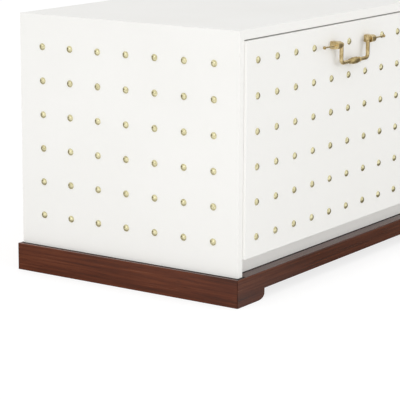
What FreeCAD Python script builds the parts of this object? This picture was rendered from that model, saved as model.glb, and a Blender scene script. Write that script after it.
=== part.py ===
import FreeCAD, Part
import Sketcher
import os

# Campaign chest: a low white lacquered case set with rows of brass nails, two wide drawers side
# by side, each hung on a pair of three-part runners and pulled by a swinging brass bail, all on a
# walnut plinth whose front board is cut away between two shaped feet.
#
# Frame: millimetres, +X to the right as seen from the front, +Y to the back, +Z up. The origin
# lies on the floor in the middle of the whole chest's footprint, handles included.

UP = FreeCAD.Vector(0, 0, 1)
DOWN = FreeCAD.Vector(0, 0, -1)
LEFT = FreeCAD.Vector(-1, 0, 0)
RIGHT = FreeCAD.Vector(1, 0, 0)
FRONT = FreeCAD.Vector(0, -1, 0)
BACK = FreeCAD.Vector(0, 1, 0)

# Which way each hand lies along X.
HANDS = {"left": -1, "right": 1}

QUARTER_TURN = 90

# How far off its plane an edge may be found.
FLAT = 1e-4

SIZE_ROWS = (
    ("case_width", "1444", "lacquered case, left to right"),
    ("case_depth", "486", "lacquered case, front to back"),
    ("case_height", "437", "lacquered case, top of plinth to top of case"),
    ("side_board", "15", "thickness of the case's side boards"),
    ("top_board", "17", "thickness of its top board"),
    ("case_edge_radius", "2", "rounding of the case's front outer arrises"),
    ("partition_board", "15", "thickness of the upright between the two bays"),
    ("floor_board", "15", "thickness of the case's bottom board"),
    ("back_board", "6", "thickness of the back panel"),
    ("back_rebate", "8", "how far the back panel reaches into the top and the sides"),
    ("rail_recess", "19", "front rails, set back behind the case's front edge"),
    ("rail_board", "18", "thickness of the front rails"),
    ("top_rail_height", "25", "height of the rail under the top board"),
    ("panel_play", "0.5", "play of a panel's edge in its rebate or groove"),
    ("plinth_height", "51", "floor to underside of case"),
    ("plinth_board", "30", "thickness of the plinth boards"),
    ("plinth_front_step", "8", "plinth in front of the case"),
    ("plinth_side_step", "11", "plinth beyond each side of the case"),
    ("plinth_back_step", "4", "plinth behind the case"),
    ("mitre_lip", "1", "square lip of the front and back boards at each mitre"),
    ("apron_rise", "19.5", "gap between the floor and the front board between the feet"),
    ("foot_length", "88", "front foot, from the plinth's end to its inner end"),
    ("foot_curve_length", "16", "length of the curve under the foot's inner end"),
    ("foot_curve_rise", "10", "rise of that curve"),
    ("corner_block", "60", "width of the glue blocks inside the plinth's corners"),
    ("bearer_width", "45", "width of the bearer under the partition"),
    ("front_board", "20", "thickness of the drawer fronts"),
    ("front_proud", "5", "drawer fronts, in front of the case's front edge"),
    ("front_edge_radius", "1.5", "rounding of the drawer fronts' face edges"),
    ("top_reveal", "2", "gap between the top board and a drawer front"),
    ("side_reveal", "1.5", "gap between a side board and a drawer front"),
    ("middle_reveal", "1.5", "gap between the two drawer fronts"),
    ("base_reveal", "32", "drawer fronts' lower edge above the case's underside"),
    ("rail_cover", "10", "how far a drawer front hangs over the bottom rail"),
    ("box_board", "12", "thickness of the drawer boxes' sides, fronts and backs"),
    ("box_panel", "6", "thickness of the drawer boxes' bottom panels"),
    ("box_panel_raise", "12", "bottom panel above the drawer box's lower edge"),
    ("box_groove", "6", "depth of the groove that holds the bottom panel"),
    ("box_rail_gap", "10", "drawer box above the bottom rail"),
    ("box_head_gap", "20", "drawer box below the top rail"),
    ("box_rear_gap", "20", "drawer box in front of the back panel"),
    ("runner_thickness", "12.7", "drawer runner, wall of the case to drawer box"),
    ("runner_height", "45", "height of the runner that is screwed to the case"),
    ("runner_sheet", "1.2", "sheet thickness of all the runners"),
    ("runner_side_play", "1.2", "gap between two runners' webs"),
    ("runner_ball_gap", "3.5", "room for the balls between two runners' flanges"),
    ("runner_raise", "70", "runner's lower edge above the drawer box's lower edge"),
    ("runner_front_gap", "3", "runner behind the rails"),
    ("runner_rear_gap", "10", "drawer box beyond the runner's rear end"),
    ("runner_screw_inset", "35", "first and last runner screws from the runner's ends"),
    ("nail_pitch", "63.5", "spacing of the sides' nails both ways and of the drawer fronts' columns"),
    ("front_row_pitch", "63", "spacing of the rows of nails on a drawer front"),
    ("nail_margin", "30", "least distance of a nail from an edge of its board"),
    ("nail_radius", "6.3", "radius of a nail's head"),
    ("nail_rise", "3.2", "height of a nail's domed head"),
    ("nail_shank_radius", "1.1", "radius of a nail's shank"),
    ("nail_shank_length", "8", "length of a nail's shank"),
    ("screw_radius", "2", "radius of the wood screws and the handle screws"),
    ("screw_head_radius", "3.6", "radius of their countersunk heads"),
    ("screw_head_height", "2", "height of the countersink"),
    ("screw_tip_gap", "1", "wood or brass left beyond a screw's tip"),
    ("back_screw_length", "25", "length of the back panel's screws"),
    ("plinth_screw_bite", "10", "how far the plinth screws enter the case"),
    ("front_screw_inset", "60", "drawer front screws from the drawer box's corners"),
    ("post_width", "15", "handle post, left to right"),
    ("post_height", "14", "handle post, top to bottom, and its nose's diameter"),
    ("pin_offset", "12.7", "bail's pivot in front of the drawer front"),
    ("pin_radius", "2", "radius of the bail's pivot pins"),
    ("pin_play", "0.05", "radial play of the pins in the posts"),
    ("pin_end", "0.6", "pivot pin beyond the post's outer face"),
    ("bail_side_gap", "2", "gap between a post and the bail's upright"),
    ("bail_top_radius", "3.5", "radius of the bail's uprights at the top"),
    ("bail_low_radius", "2.9", "radius of the bail's bar at the corners and below"),
    ("bail_knuckle", "4.2", "radius of the knuckle between pin and upright"),
    ("bail_drop", "33.4", "bail's lower bar below its pivot"),
    ("bail_corner", "7", "bend radius of the bail's lower corners"),
    ("grip_length", "43", "length of the swelled grip"),
    ("grip_radius", "6.5", "radius of the swelled grip"),
    ("grip_ring_radius", "4.6", "radius of the ring at each end of the grip"),
    ("grip_ring_width", "2.6", "width of those rings"),
    ("finial_reach", "41", "ball's centre beyond the post's outer face"),
    ("finial_stem_radius", "1.4", "radius of the finial's stem"),
    ("finial_ball_radius", "3.2", "radius of the finial's ball"),
)

LAYOUT_ROWS = (
    ("case_base", "=Sizes.plinth_height", "underside of the case"),
    ("case_top", "=case_base + Sizes.case_height", "top of the case"),
    ("ceiling", "=case_top - Sizes.top_board", "underside of the top board"),
    ("inner_width", "=Sizes.case_width - 2 * Sizes.side_board", "between the side boards"),
    ("handle_reach", "=Sizes.pin_offset + Sizes.post_height / 2", "handle, from the drawer front"),
    ("front_reach", "=Sizes.front_proud + handle_reach", "handle, from the case's front edge"),
    ("front_y", "=(front_reach - Sizes.case_depth - Sizes.plinth_back_step) / 2", "front edge"),
    ("back_y", "=front_y + Sizes.case_depth", "back edge of the case"),
    ("back_panel_y", "=back_y - Sizes.back_board", "front face of the back panel"),
    ("back_recess", "=inner_width + 2 * Sizes.back_rebate", "width of the back panel's recess"),
    ("face_y", "=front_y - Sizes.front_proud", "drawer fronts' faces"),
    ("box_y", "=face_y + Sizes.front_board", "drawer fronts' rear faces"),
    ("rail_y", "=front_y + Sizes.rail_recess", "front faces of the rails"),
    ("rail_back_y", "=rail_y + Sizes.rail_board", "rear faces of the rails"),
    ("rail_height", "=Sizes.base_reveal + Sizes.rail_cover", "height of the bottom rail"),
    ("inner_depth", "=back_panel_y - rail_back_y", "rails to back panel"),
    ("plinth_width", "=Sizes.case_width + 2 * Sizes.plinth_side_step", "plinth, left to right"),
    ("plinth_y", "=front_y - Sizes.plinth_front_step", "front of the plinth"),
    ("plinth_depth", "=back_y + Sizes.plinth_back_step - plinth_y", "plinth, front to back"),
    ("plinth_inner", "=plinth_depth - 2 * Sizes.plinth_board", "inside the plinth, front to back"),
    ("foot_curve_radius", "=(Sizes.foot_curve_length ^ 2 + Sizes.foot_curve_rise ^ 2)"
     " / (2 * Sizes.foot_curve_rise)", "circle through the foot's curve"),
    ("block_height", "=Sizes.plinth_height - Sizes.apron_rise", "glue blocks and bearer"),
    ("bay_width", "=(inner_width - Sizes.partition_board) / 2", "inside one bay"),
    ("bay_x", "=(Sizes.partition_board + bay_width) / 2", "middle of a bay"),
    ("front_width", "=(inner_width - Sizes.middle_reveal) / 2 - Sizes.side_reveal", "drawer front"),
    ("front_x", "=(Sizes.middle_reveal + front_width) / 2", "middle of a drawer front"),
    ("front_base", "=case_base + Sizes.base_reveal", "lower edge of a drawer front"),
    ("front_height", "=ceiling - Sizes.top_reveal - front_base", "height of a drawer front"),
    ("front_mid", "=front_base + front_height / 2", "mid height of a drawer front"),
    ("box_base", "=case_base + rail_height + Sizes.box_rail_gap", "lower edge of a drawer box"),
    ("box_height", "=ceiling - Sizes.top_rail_height - Sizes.box_head_gap - box_base", "box"),
    ("box_width", "=bay_width - 2 * Sizes.runner_thickness", "outside of a drawer box"),
    ("box_inner", "=box_width - 2 * Sizes.box_board", "inside of a drawer box"),
    ("box_length", "=back_panel_y - Sizes.box_rear_gap - box_y", "drawer box, front to back"),
    ("box_hollow", "=box_length - 2 * Sizes.box_board", "inside of a drawer box"),
    ("runner_y", "=rail_back_y + Sizes.runner_front_gap", "front ends of the runners"),
    ("runner_length", "=box_y + box_length - Sizes.runner_rear_gap - runner_y", "runners"),
    ("runner_base", "=box_base + Sizes.runner_raise", "lower edge of the case's runners"),
    ("runner_step", "=Sizes.runner_sheet + Sizes.runner_side_play", "one runner to the next"),
    ("runner_nest", "=Sizes.runner_sheet + Sizes.runner_ball_gap", "flange to nested flange"),
    ("runner_bite", "=min(Sizes.side_board - Sizes.nail_shank_length; Sizes.partition_board / 2)"
     " - Sizes.screw_tip_gap", "runner screws in the wood"),
    ("front_bite", "=Sizes.front_board - Sizes.nail_shank_length - Sizes.screw_tip_gap",
     "drawer front screws in the drawer front"),
    ("post_bite", "=Sizes.pin_offset - Sizes.pin_radius - Sizes.pin_play - Sizes.screw_tip_gap",
     "handle screws in the posts"),
    ("handle_half", "=Sizes.nail_pitch", "post's middle from the handle's middle"),
    ("handle_z", "=front_mid + floor((front_height - 2 * Sizes.nail_margin)"
     " / Sizes.front_row_pitch) * Sizes.front_row_pitch / 2",
     "top row of nails and the bail's pivot"),
    ("pin_y", "=face_y - Sizes.pin_offset", "bail's pivot"),
    ("post_outer", "=handle_half + Sizes.post_width / 2", "post's outer face"),
    ("bail_half", "=handle_half - Sizes.post_width / 2 - Sizes.bail_side_gap"
     " - Sizes.bail_top_radius", "bail's upright from the handle's middle"),
    ("bail_upright", "=Sizes.bail_drop - Sizes.bail_corner", "length of the bail's uprights"),
    ("bail_z", "=handle_z - Sizes.bail_drop", "bail's lower bar"),
    ("finial_stem", "=Sizes.finial_reach - Sizes.pin_end", "length of a finial's stem"),
)

doc = FreeCAD.newDocument("CampaignChest")
parts = []


def fill_sheet(name, rows):
    """Make a spreadsheet with a note, a value and an alias in each row."""
    sheet = doc.addObject("Spreadsheet::Sheet", name)
    for number, (alias, content, note) in enumerate(rows, start=1):
        sheet.set(f"A{number}", note)
        sheet.set(f"B{number}", content)
        sheet.setAlias(f"B{number}", alias)
    return sheet


def value(expression):
    """Read an expression of the sheets' cells as a number."""
    return float(sizes.evalExpression(expression))


def keep(solid):
    """Put a finished piece on the list of parts that are written out."""
    parts.append(solid)
    return solid


def move(solid, corner):
    """Tie a solid's place to three expressions."""
    for axis, expression in zip("xyz", corner):
        solid.setExpression(f"Placement.Base.{axis}", expression)
    return solid


def block(name, size, corner):
    """Square block from its lowest corner."""
    solid = doc.addObject("Part::Box", name)
    for side, expression in zip(("Length", "Width", "Height"), size):
        solid.setExpression(side, expression)
    return move(solid, corner)


def turned(kind, name, radii, start, direction=UP):
    """Round primitive whose own Z axis points along a direction."""
    solid = doc.addObject(kind, name)
    for measure, expression in radii.items():
        solid.setExpression(measure, expression)
    solid.Placement = FreeCAD.Placement(FreeCAD.Vector(), FreeCAD.Rotation(UP, direction))
    return move(solid, start)


def rod(name, radius, length, start, direction=UP):
    """Cylinder from the middle of its first end."""
    return turned("Part::Cylinder", name, {"Radius": radius, "Height": length}, start, direction)


def fuse(name, solids):
    """One solid out of several that overlap."""
    whole = doc.addObject("Part::MultiFuse", name)
    whole.Shapes = solids
    return whole


def bundle(name, solids):
    """Several separate solids as one group."""
    whole = doc.addObject("Part::Compound", name)
    whole.Links = solids
    return whole


def carve(name, solid, tools):
    """Take each tool away in turn; the last cut bears the piece's name."""
    for number, tool in enumerate(tools, start=1):
        last = number == len(tools)
        cut = doc.addObject("Part::Cut", name if last else f"{name}_cut_{number}")
        cut.Base = solid
        cut.Tool = tool
        solid = cut
    return solid


def prism(name, plane, outline, length, corner):
    """Pad a closed outline of corner expressions; XZ outlines grow to the back, XY ones up."""
    body = doc.addObject("PartDesign::Body", name)
    sketch = body.newObject("Sketcher::SketchObject", f"{name}_outline")
    origin_planes = {feature.Role: feature for feature in body.Origin.OriginFeatures}
    sketch.AttachmentSupport = [(origin_planes[plane], "")]
    sketch.MapMode = "FlatFace"
    corners = [FreeCAD.Vector(value(across), value(along), 0) for across, along in outline]
    count = len(corners)
    for number, point in enumerate(corners):
        sketch.addGeometry(Part.LineSegment(point, corners[(number + 1) % count]), False)
    for number in range(count):
        following = (number + 1) % count
        sketch.addConstraint(Sketcher.Constraint("Coincident", number, 2, following, 1))
    for number, (across, along) in enumerate(outline):
        point = corners[number]
        for kind, place, expression in (("DistanceX", point.x, across),
                                        ("DistanceY", point.y, along)):
            constraint = Sketcher.Constraint(kind, -1, 1, number, 1, place)
            index = sketch.addConstraint(constraint)
            sketch.setExpression(f"Constraints[{index}]", expression)
    pad = body.newObject("PartDesign::Pad", f"{name}_pad")
    pad.Profile = sketch
    pad.Reversed = plane == "XZ_Plane"
    pad.setExpression("Length", length)
    return move(body, corner)


def round_edges(body, radius, chosen):
    """Fillet the edges whose box, in the body's own frame, passes the test."""
    doc.recompute()
    sharp = body.Tip
    names = []
    for number, edge in enumerate(sharp.Shape.Edges, start=1):
        if chosen(edge.BoundBox):
            names.append(f"Edge{number}")
    fillet = body.newObject("PartDesign::Fillet", f"{body.Name}_fillet")
    fillet.Base = (sharp, names)
    fillet.setExpression("Radius", radius)
    return body


def mirrored(outline, width):
    """Outline turned left for right within its width."""
    return [(f"{width} - ({across})", along) for across, along in reversed(outline)]


def lies_at(low, high, place):
    """True where a box edge lies in one plane."""
    return abs(low - place) < FLAT and abs(high - place) < FLAT


def spread(span, pitch="Sizes.nail_pitch"):
    """Offsets of a nail grid's lines along a span, centred on it."""
    step_size = value(pitch)
    room = span - 2 * value("Sizes.nail_margin")
    steps = int(room // step_size)
    return [(step - steps / 2) * step_size for step in range(steps + 1)]


def scatter(name, pattern, spots):
    """Group of copies of one fastener; each spot is a place and the way the head faces."""
    copies = []
    for place, facing in spots:
        copy = pattern.Shape.copy()
        copy.Placement = FreeCAD.Placement(place, FreeCAD.Rotation(UP, facing))
        copies.append(copy)
    group = doc.addObject("Part::Feature", name)
    group.Shape = Part.makeCompound(copies)
    group.Placement = FreeCAD.Placement()
    return group


def make_nail():
    """Pattern nail: domed head on the face, shank below it; the face is its z = 0."""
    ball = "(Sizes.nail_radius ^ 2 + Sizes.nail_rise ^ 2) / (2 * Sizes.nail_rise)"
    sphere = turned("Part::Sphere", "nail_ball", {"Radius": ball},
                    ("0", "0", f"Sizes.nail_rise - {ball}"))
    disc = rod("nail_disc", "Sizes.nail_radius", "Sizes.nail_rise", ("0", "0", "0"))
    head = doc.addObject("Part::Common", "nail_head")
    head.Base = sphere
    head.Tool = disc
    shank = rod("nail_shank", "Sizes.nail_shank_radius", "Sizes.nail_shank_length",
                ("0", "0", "-Sizes.nail_shank_length"))
    return fuse("nail_pattern", [head, shank])


def make_screw(name, length):
    """Pattern countersunk screw: head flush with z = 0, shank below it."""
    head = turned("Part::Cone", f"{name}_head",
                  {"Radius1": "Sizes.screw_radius", "Radius2": "Sizes.screw_head_radius",
                   "Height": "Sizes.screw_head_height"}, ("0", "0", "-Sizes.screw_head_height"))
    shank = rod(f"{name}_shank", "Sizes.screw_radius", f"{length} - Sizes.screw_head_height",
                ("0", "0", f"-({length})"))
    return fuse(name, [head, shank])


def nail_side_board(hand):
    """Nails of one side board, a centred grid over its outer face."""
    x = HANDS[hand] * value("Sizes.case_width") / 2
    middle_y = value("(Layout.front_y + Layout.back_y) / 2")
    middle_z = value("(Layout.case_base + Layout.case_top) / 2")
    facing = LEFT if hand == "left" else RIGHT
    spots = []
    for across in spread(value("Sizes.case_depth")):
        for up in spread(value("Sizes.case_height")):
            spots.append((FreeCAD.Vector(x, middle_y + across, middle_z + up), facing))
    return keep(scatter(f"{hand}_side_nails", nail, spots))


def nail_drawer_front(hand):
    """Nails of one drawer front; the two handle posts take the place of a nail each."""
    middle_x = HANDS[hand] * value("Layout.front_x")
    middle_z = value("Layout.front_mid")
    face_y = value("Layout.face_y")
    handle_z = value("Layout.handle_z")
    handle_half = value("Layout.handle_half")
    clear = value("Sizes.post_width / 2 + Sizes.nail_radius")
    spots = []
    for across in spread(value("Layout.front_width")):
        for up in spread(value("Layout.front_height"), "Sizes.front_row_pitch"):
            beside_post = abs(abs(across) - handle_half) < clear
            if beside_post and abs(middle_z + up - handle_z) < clear:
                continue
            spots.append((FreeCAD.Vector(middle_x + across, face_y, middle_z + up), FRONT))
    return keep(scatter(f"{hand}_drawer_nails", nail, spots))


def screw_back_panel():
    """Screws round the back panel, into the sides, the top, the bottom board and the partition."""
    y = value("Layout.back_y")
    edge_x = value("(Layout.back_recess - Sizes.back_rebate) / 2")
    bay_x = value("Layout.bay_x")
    low = value("Layout.case_base + Sizes.floor_board / 2")
    high = value("Layout.ceiling + Sizes.back_rebate / 2")
    middle = (low + high) / 2
    spots = []
    for x in (-edge_x, -bay_x, 0, bay_x, edge_x):
        for z in (low, middle, high):
            over_bay = abs(x) == bay_x
            if not (over_bay and z == middle):
                spots.append((FreeCAD.Vector(x, y, z), BACK))
    return keep(scatter("back_panel_screws", back_screw, spots))


def screw_plinth():
    """Screws up through the glue blocks and the bearer into the case's bottom board."""
    z = value("Sizes.apron_rise")
    block_x = value("Layout.plinth_width / 2 - Sizes.plinth_board - Sizes.corner_block / 2")
    front_y = value("Layout.plinth_y + Sizes.plinth_board + Sizes.corner_block / 2")
    back_y = front_y + value("Layout.plinth_inner - Sizes.corner_block")
    spots = []
    for x in (-block_x, 0, block_x):
        for y in (front_y, back_y):
            spots.append((FreeCAD.Vector(x, y, z), DOWN))
    return keep(scatter("plinth_screws", plinth_screw, spots))


def runner_screw_rows():
    """Places along a runner where its screws stand."""
    first = value("Layout.runner_y + Sizes.runner_screw_inset")
    last = value("Layout.runner_y + Layout.runner_length - Sizes.runner_screw_inset")
    return (first, (first + last) / 2, last)


def screw_runners(name, bays, into_case):
    """Runner screws of the given bays, into the case's walls or into the drawer boxes."""
    z = value("Layout.runner_base + Sizes.runner_height / 2")
    half = value("Layout.bay_width / 2")
    inset = value("Sizes.runner_sheet")
    if not into_case:
        inset = value("Sizes.runner_thickness - Sizes.runner_sheet")
    spots = []
    for bay in bays:
        for wall in HANDS.values():
            x = HANDS[bay] * value("Layout.bay_x") + wall * (half - inset)
            inward = (wall < 0) == into_case
            facing = RIGHT if inward else LEFT
            for y in runner_screw_rows():
                spots.append((FreeCAD.Vector(x, y, z), facing))
    return keep(scatter(name, runner_screw, spots))


def make_case():
    """Lacquered case: mitred top and sides, bottom board, rails, partition and back panel."""
    board = "Sizes.side_board"
    lid = "Sizes.top_board"
    width = "Sizes.case_width"
    left_x = "-Sizes.case_width / 2"
    right_x = "Sizes.case_width / 2 - Sizes.side_board"
    recess = block("back_recess",
                   ("Layout.back_recess", "2 * Sizes.back_board",
                    "Layout.ceiling + Sizes.back_rebate"),
                   ("-Layout.back_recess / 2", "Layout.back_panel_y", "0"))

    top_outline = [(board, "0"), (f"{width} - {board}", "0"), (width, lid), ("0", lid)]
    top = prism("top_blank", "XZ_Plane", top_outline, "Sizes.case_depth",
                (left_x, "Layout.front_y", "Layout.ceiling"))
    upper_z = value(lid)
    round_edges(top, "Sizes.case_edge_radius",
                lambda box: lies_at(box.YMin, box.YMax, 0)
                and lies_at(box.ZMin, box.ZMax, upper_z))
    keep(carve("top_board", top, [recess, back_screws]))

    side_outline = [("0", "0"), (board, "0"), (board, f"Sizes.case_height - {lid}"),
                    ("0", "Sizes.case_height")]
    for hand, outline, x in (("left", side_outline, left_x),
                             ("right", mirrored(side_outline, board), right_x)):
        side = prism(f"{hand}_side_blank", "XZ_Plane", outline, "Sizes.case_depth",
                     (x, "Layout.front_y", "Layout.case_base"))
        outer_x = 0 if hand == "left" else value(board)
        round_edges(side, "Sizes.case_edge_radius",
                    lambda box: lies_at(box.YMin, box.YMax, 0)
                    and lies_at(box.XMin, box.XMax, outer_x))
        keep(carve(f"{hand}_side_panel", side,
                   [recess, side_nails[hand], back_screws, case_runner_screws]))

    inner_x = "-Layout.inner_width / 2"
    keep(block("front_rail", ("Layout.inner_width", "Sizes.rail_board", "Layout.rail_height"),
               (inner_x, "Layout.rail_y", "Layout.case_base")))
    keep(block("top_rail", ("Layout.inner_width", "Sizes.rail_board", "Sizes.top_rail_height"),
               (inner_x, "Layout.rail_y", "Layout.ceiling - Sizes.top_rail_height")))
    floor = block("bottom_blank",
                  ("Layout.inner_width", "Layout.inner_depth", "Sizes.floor_board"),
                  (inner_x, "Layout.rail_back_y", "Layout.case_base"))
    keep(carve("bottom_board", floor, [back_screws, plinth_screws]))
    partition = block("partition_blank",
                      ("Sizes.partition_board", "Layout.inner_depth",
                       "Layout.ceiling - Layout.case_base - Sizes.floor_board"),
                      ("-Sizes.partition_board / 2", "Layout.rail_back_y",
                       "Layout.case_base + Sizes.floor_board"))
    keep(carve("centre_partition", partition, [back_screws, case_runner_screws]))
    back = block("back_blank",
                 ("Layout.back_recess - 2 * Sizes.panel_play", "Sizes.back_board",
                  "Layout.ceiling + Sizes.back_rebate - Sizes.panel_play - Layout.case_base"),
                 ("Sizes.panel_play - Layout.back_recess / 2", "Layout.back_panel_y",
                  "Layout.case_base"))
    keep(carve("back_panel", back, [back_screws]))


def make_foot_curve(hand):
    """Waste under the curved inner end of one front foot."""
    sign = HANDS[hand]
    start_x = f"{sign} * (Layout.plinth_width / 2 - Sizes.foot_length + Sizes.foot_curve_length)"
    low_x = start_x if hand == "left" else f"{start_x} - Sizes.foot_curve_length"
    wedge = block(f"{hand}_foot_wedge",
                  ("Sizes.foot_curve_length", "Sizes.plinth_board", "Sizes.foot_curve_rise"),
                  (low_x, "Layout.plinth_y", "0"))
    wheel = rod(f"{hand}_foot_wheel", "Layout.foot_curve_radius", "Sizes.plinth_board",
                (start_x, "Layout.plinth_y", "Layout.foot_curve_radius"), BACK)
    return carve(f"{hand}_foot_waste", wedge, [wheel])


def make_plinth():
    """Walnut plinth: four boards with lipped mitres, glue blocks and a bearer."""
    length = "Layout.plinth_width"
    depth = "Layout.plinth_depth"
    thick = "Sizes.plinth_board"
    lip = "Sizes.mitre_lip"
    left_x = f"-{length} / 2"
    right_x = f"{length} / 2 - {thick}"

    front_outline = [("0", "0"), (length, "0"), (length, lip), (f"{length} - {thick}", thick),
                     (thick, thick), ("0", lip)]
    front = prism("plinth_front_blank", "XY_Plane", front_outline, "Sizes.plinth_height",
                  (left_x, "Layout.plinth_y", "0"))
    under = block("apron_waste",
                  (f"{length} - 2 * Sizes.foot_length", thick, "Sizes.apron_rise"),
                  (f"Sizes.foot_length - {length} / 2", "Layout.plinth_y", "0"))
    keep(carve("plinth_front_board", front,
               [under, make_foot_curve("left"), make_foot_curve("right")]))

    back_outline = [(across, f"{thick} - ({along})") for across, along in reversed(front_outline)]
    keep(prism("plinth_back_board", "XY_Plane", back_outline, "Sizes.plinth_height",
               (left_x, f"Layout.plinth_y + {depth} - {thick}", "0")))
    side_outline = [("0", lip), (thick, thick), (thick, f"{depth} - {thick}"),
                    ("0", f"{depth} - {lip}")]
    keep(prism("plinth_left_board", "XY_Plane", side_outline, "Sizes.plinth_height",
               (left_x, "Layout.plinth_y", "0")))
    keep(prism("plinth_right_board", "XY_Plane", mirrored(side_outline, thick),
               "Sizes.plinth_height", (right_x, "Layout.plinth_y", "0")))

    blocks = []
    inner_y = f"Layout.plinth_y + {thick}"
    for hand, x in (("left", f"{left_x} + {thick}"), ("right", f"{right_x} - Sizes.corner_block")):
        for end, y in (("front", inner_y),
                       ("rear", f"{inner_y} + Layout.plinth_inner - Sizes.corner_block")):
            blocks.append(block(f"{hand}_{end}_glue_block",
                                ("Sizes.corner_block", "Sizes.corner_block",
                                 "Layout.block_height"), (x, y, "Sizes.apron_rise")))
    keep(carve("plinth_corner_blocks", bundle("glue_blocks", blocks), [plinth_screws]))
    bearer = block("bearer_blank",
                   ("Sizes.bearer_width", "Layout.plinth_inner", "Layout.block_height"),
                   ("-Sizes.bearer_width / 2", inner_y, "Sizes.apron_rise"))
    keep(carve("plinth_centre_bearer", bearer, [plinth_screws]))


def make_channel(name, width, height, web_right, corner):
    """Sheet metal channel along Y, open to the side away from its web."""
    sheet = "Sizes.runner_sheet"
    outline = [("0", "0"), (width, "0"), (width, sheet), (sheet, sheet),
               (sheet, f"{height} - {sheet}"), (width, f"{height} - {sheet}"),
               (width, height), ("0", height)]
    if web_right:
        outline = mirrored(outline, width)
    return prism(name, "XZ_Plane", outline, "Layout.runner_length", corner)


def make_runners(bay, hand):
    """Three nested runners on one wall of a bay: on the case, between, and on the drawer."""
    name = f"{bay}_bay_{hand}"
    wall = f"({HANDS[bay]} * Layout.bay_x + {HANDS[hand]} * Layout.bay_width / 2)"
    thickness = "Sizes.runner_thickness"
    step = "Layout.runner_step"
    nest = "Layout.runner_nest"
    stages = (
        ("case_runner", "0", f"{thickness} - {step}", 0, False),
        ("middle_runner", step, f"{thickness} - 2 * {step}", 1, False),
        ("drawer_runner", f"2 * {step}", f"{thickness} - 2 * {step}", 2, True),
    )
    for stage, offset, width, depth, web_inward in stages:
        x = f"{wall} + {offset}"
        if hand == "right":
            x = f"{wall} - {offset} - ({width})"
        web_right = web_inward == (hand == "left")
        final = f"{name}_{stage}"
        screwed = stage != "middle_runner"
        channel = make_channel(f"{final}_blank" if screwed else final, width,
                               f"(Sizes.runner_height - {2 * depth} * {nest})", web_right,
                               (x, "Layout.runner_y", f"Layout.runner_base + {depth} * {nest}"))
        if stage == "case_runner":
            channel = carve(final, channel, [case_runner_screws])
        elif stage == "drawer_runner":
            channel = carve(final, channel, [drawer_runner_screws[bay]])
        keep(channel)


def screw_drawer_front(hand):
    """Screws from inside the drawer box into the drawer front."""
    middle_x = HANDS[hand] * value("Layout.bay_x")
    reach = value("Layout.box_width / 2 - Sizes.front_screw_inset")
    y = value("Layout.box_y + Sizes.box_board")
    low = value("Layout.box_base + Sizes.front_screw_inset")
    high = value("Layout.box_base + Layout.box_height - Sizes.front_screw_inset")
    spots = []
    for across in (-reach, 0, reach):
        for z in (low, high):
            spots.append((FreeCAD.Vector(middle_x + across, y, z), BACK))
    return keep(scatter(f"{hand}_drawer_front_screws", front_screw, spots))


def screw_posts(hand):
    """Screws through the drawer front into the two handle posts."""
    middle_x = HANDS[hand] * value("Layout.front_x")
    half = value("Layout.handle_half")
    y = value("Layout.box_y")
    z = value("Layout.handle_z")
    spots = [(FreeCAD.Vector(middle_x + end * half, y, z), BACK) for end in HANDS.values()]
    return keep(scatter(f"{hand}_handle_screws", post_screw, spots))


def make_drawer(hand):
    """Drawer of one bay: lacquered front and a maple box with a grooved-in bottom."""
    name = f"{hand}_drawer"
    front_x = f"({HANDS[hand]} * Layout.front_x - Layout.front_width / 2)"
    box_x = f"({HANDS[hand]} * Layout.bay_x - Layout.box_width / 2)"
    board = "Sizes.box_board"
    nails = nail_drawer_front(hand)
    front_screws = screw_drawer_front(hand)
    post_screws = screw_posts(hand)

    face = [("0", "0"), ("Layout.front_width", "0"), ("Layout.front_width", "Layout.front_height"),
            ("0", "Layout.front_height")]
    front = prism(f"{name}_front_blank", "XZ_Plane", face, "Sizes.front_board",
                  (front_x, "Layout.face_y", "Layout.front_base"))
    round_edges(front, "Sizes.front_edge_radius",
                lambda box: lies_at(box.YMin, box.YMax, 0))
    keep(carve(f"{name}_front", front, [nails, front_screws, post_screws]))

    groove = block(f"{name}_groove",
                   ("Layout.box_inner + 2 * Sizes.box_groove",
                    "Layout.box_hollow + 2 * Sizes.box_groove", "Sizes.box_panel"),
                   (f"{box_x} + {board} - Sizes.box_groove",
                    f"Layout.box_y + {board} - Sizes.box_groove",
                    "Layout.box_base + Sizes.box_panel_raise"))
    side_size = (board, "Layout.box_length", "Layout.box_height")
    end_size = ("Layout.box_inner", board, "Layout.box_height")
    for side, x in (("left", box_x), ("right", f"{box_x} + Layout.box_width - {board}")):
        blank = block(f"{name}_{side}_blank", side_size, (x, "Layout.box_y", "Layout.box_base"))
        keep(carve(f"{name}_{side}_side", blank, [groove, drawer_runner_screws[hand]]))
    inner_x = f"{box_x} + {board}"
    head = block(f"{name}_head_blank", end_size, (inner_x, "Layout.box_y", "Layout.box_base"))
    keep(carve(f"{name}_box_front", head, [groove, front_screws]))
    tail = block(f"{name}_tail_blank", end_size,
                 (inner_x, f"Layout.box_y + Layout.box_length - {board}", "Layout.box_base"))
    keep(carve(f"{name}_box_back", tail, [groove]))
    hold = "(Sizes.box_groove - Sizes.panel_play)"
    keep(block(f"{name}_bottom",
               (f"Layout.box_inner + 2 * {hold}", f"Layout.box_hollow + 2 * {hold}",
                "Sizes.box_panel"),
               (f"{inner_x} - {hold}", f"Layout.box_y + {board} - {hold}",
                "Layout.box_base + Sizes.box_panel_raise")))
    make_handle(hand, post_screws)


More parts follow.
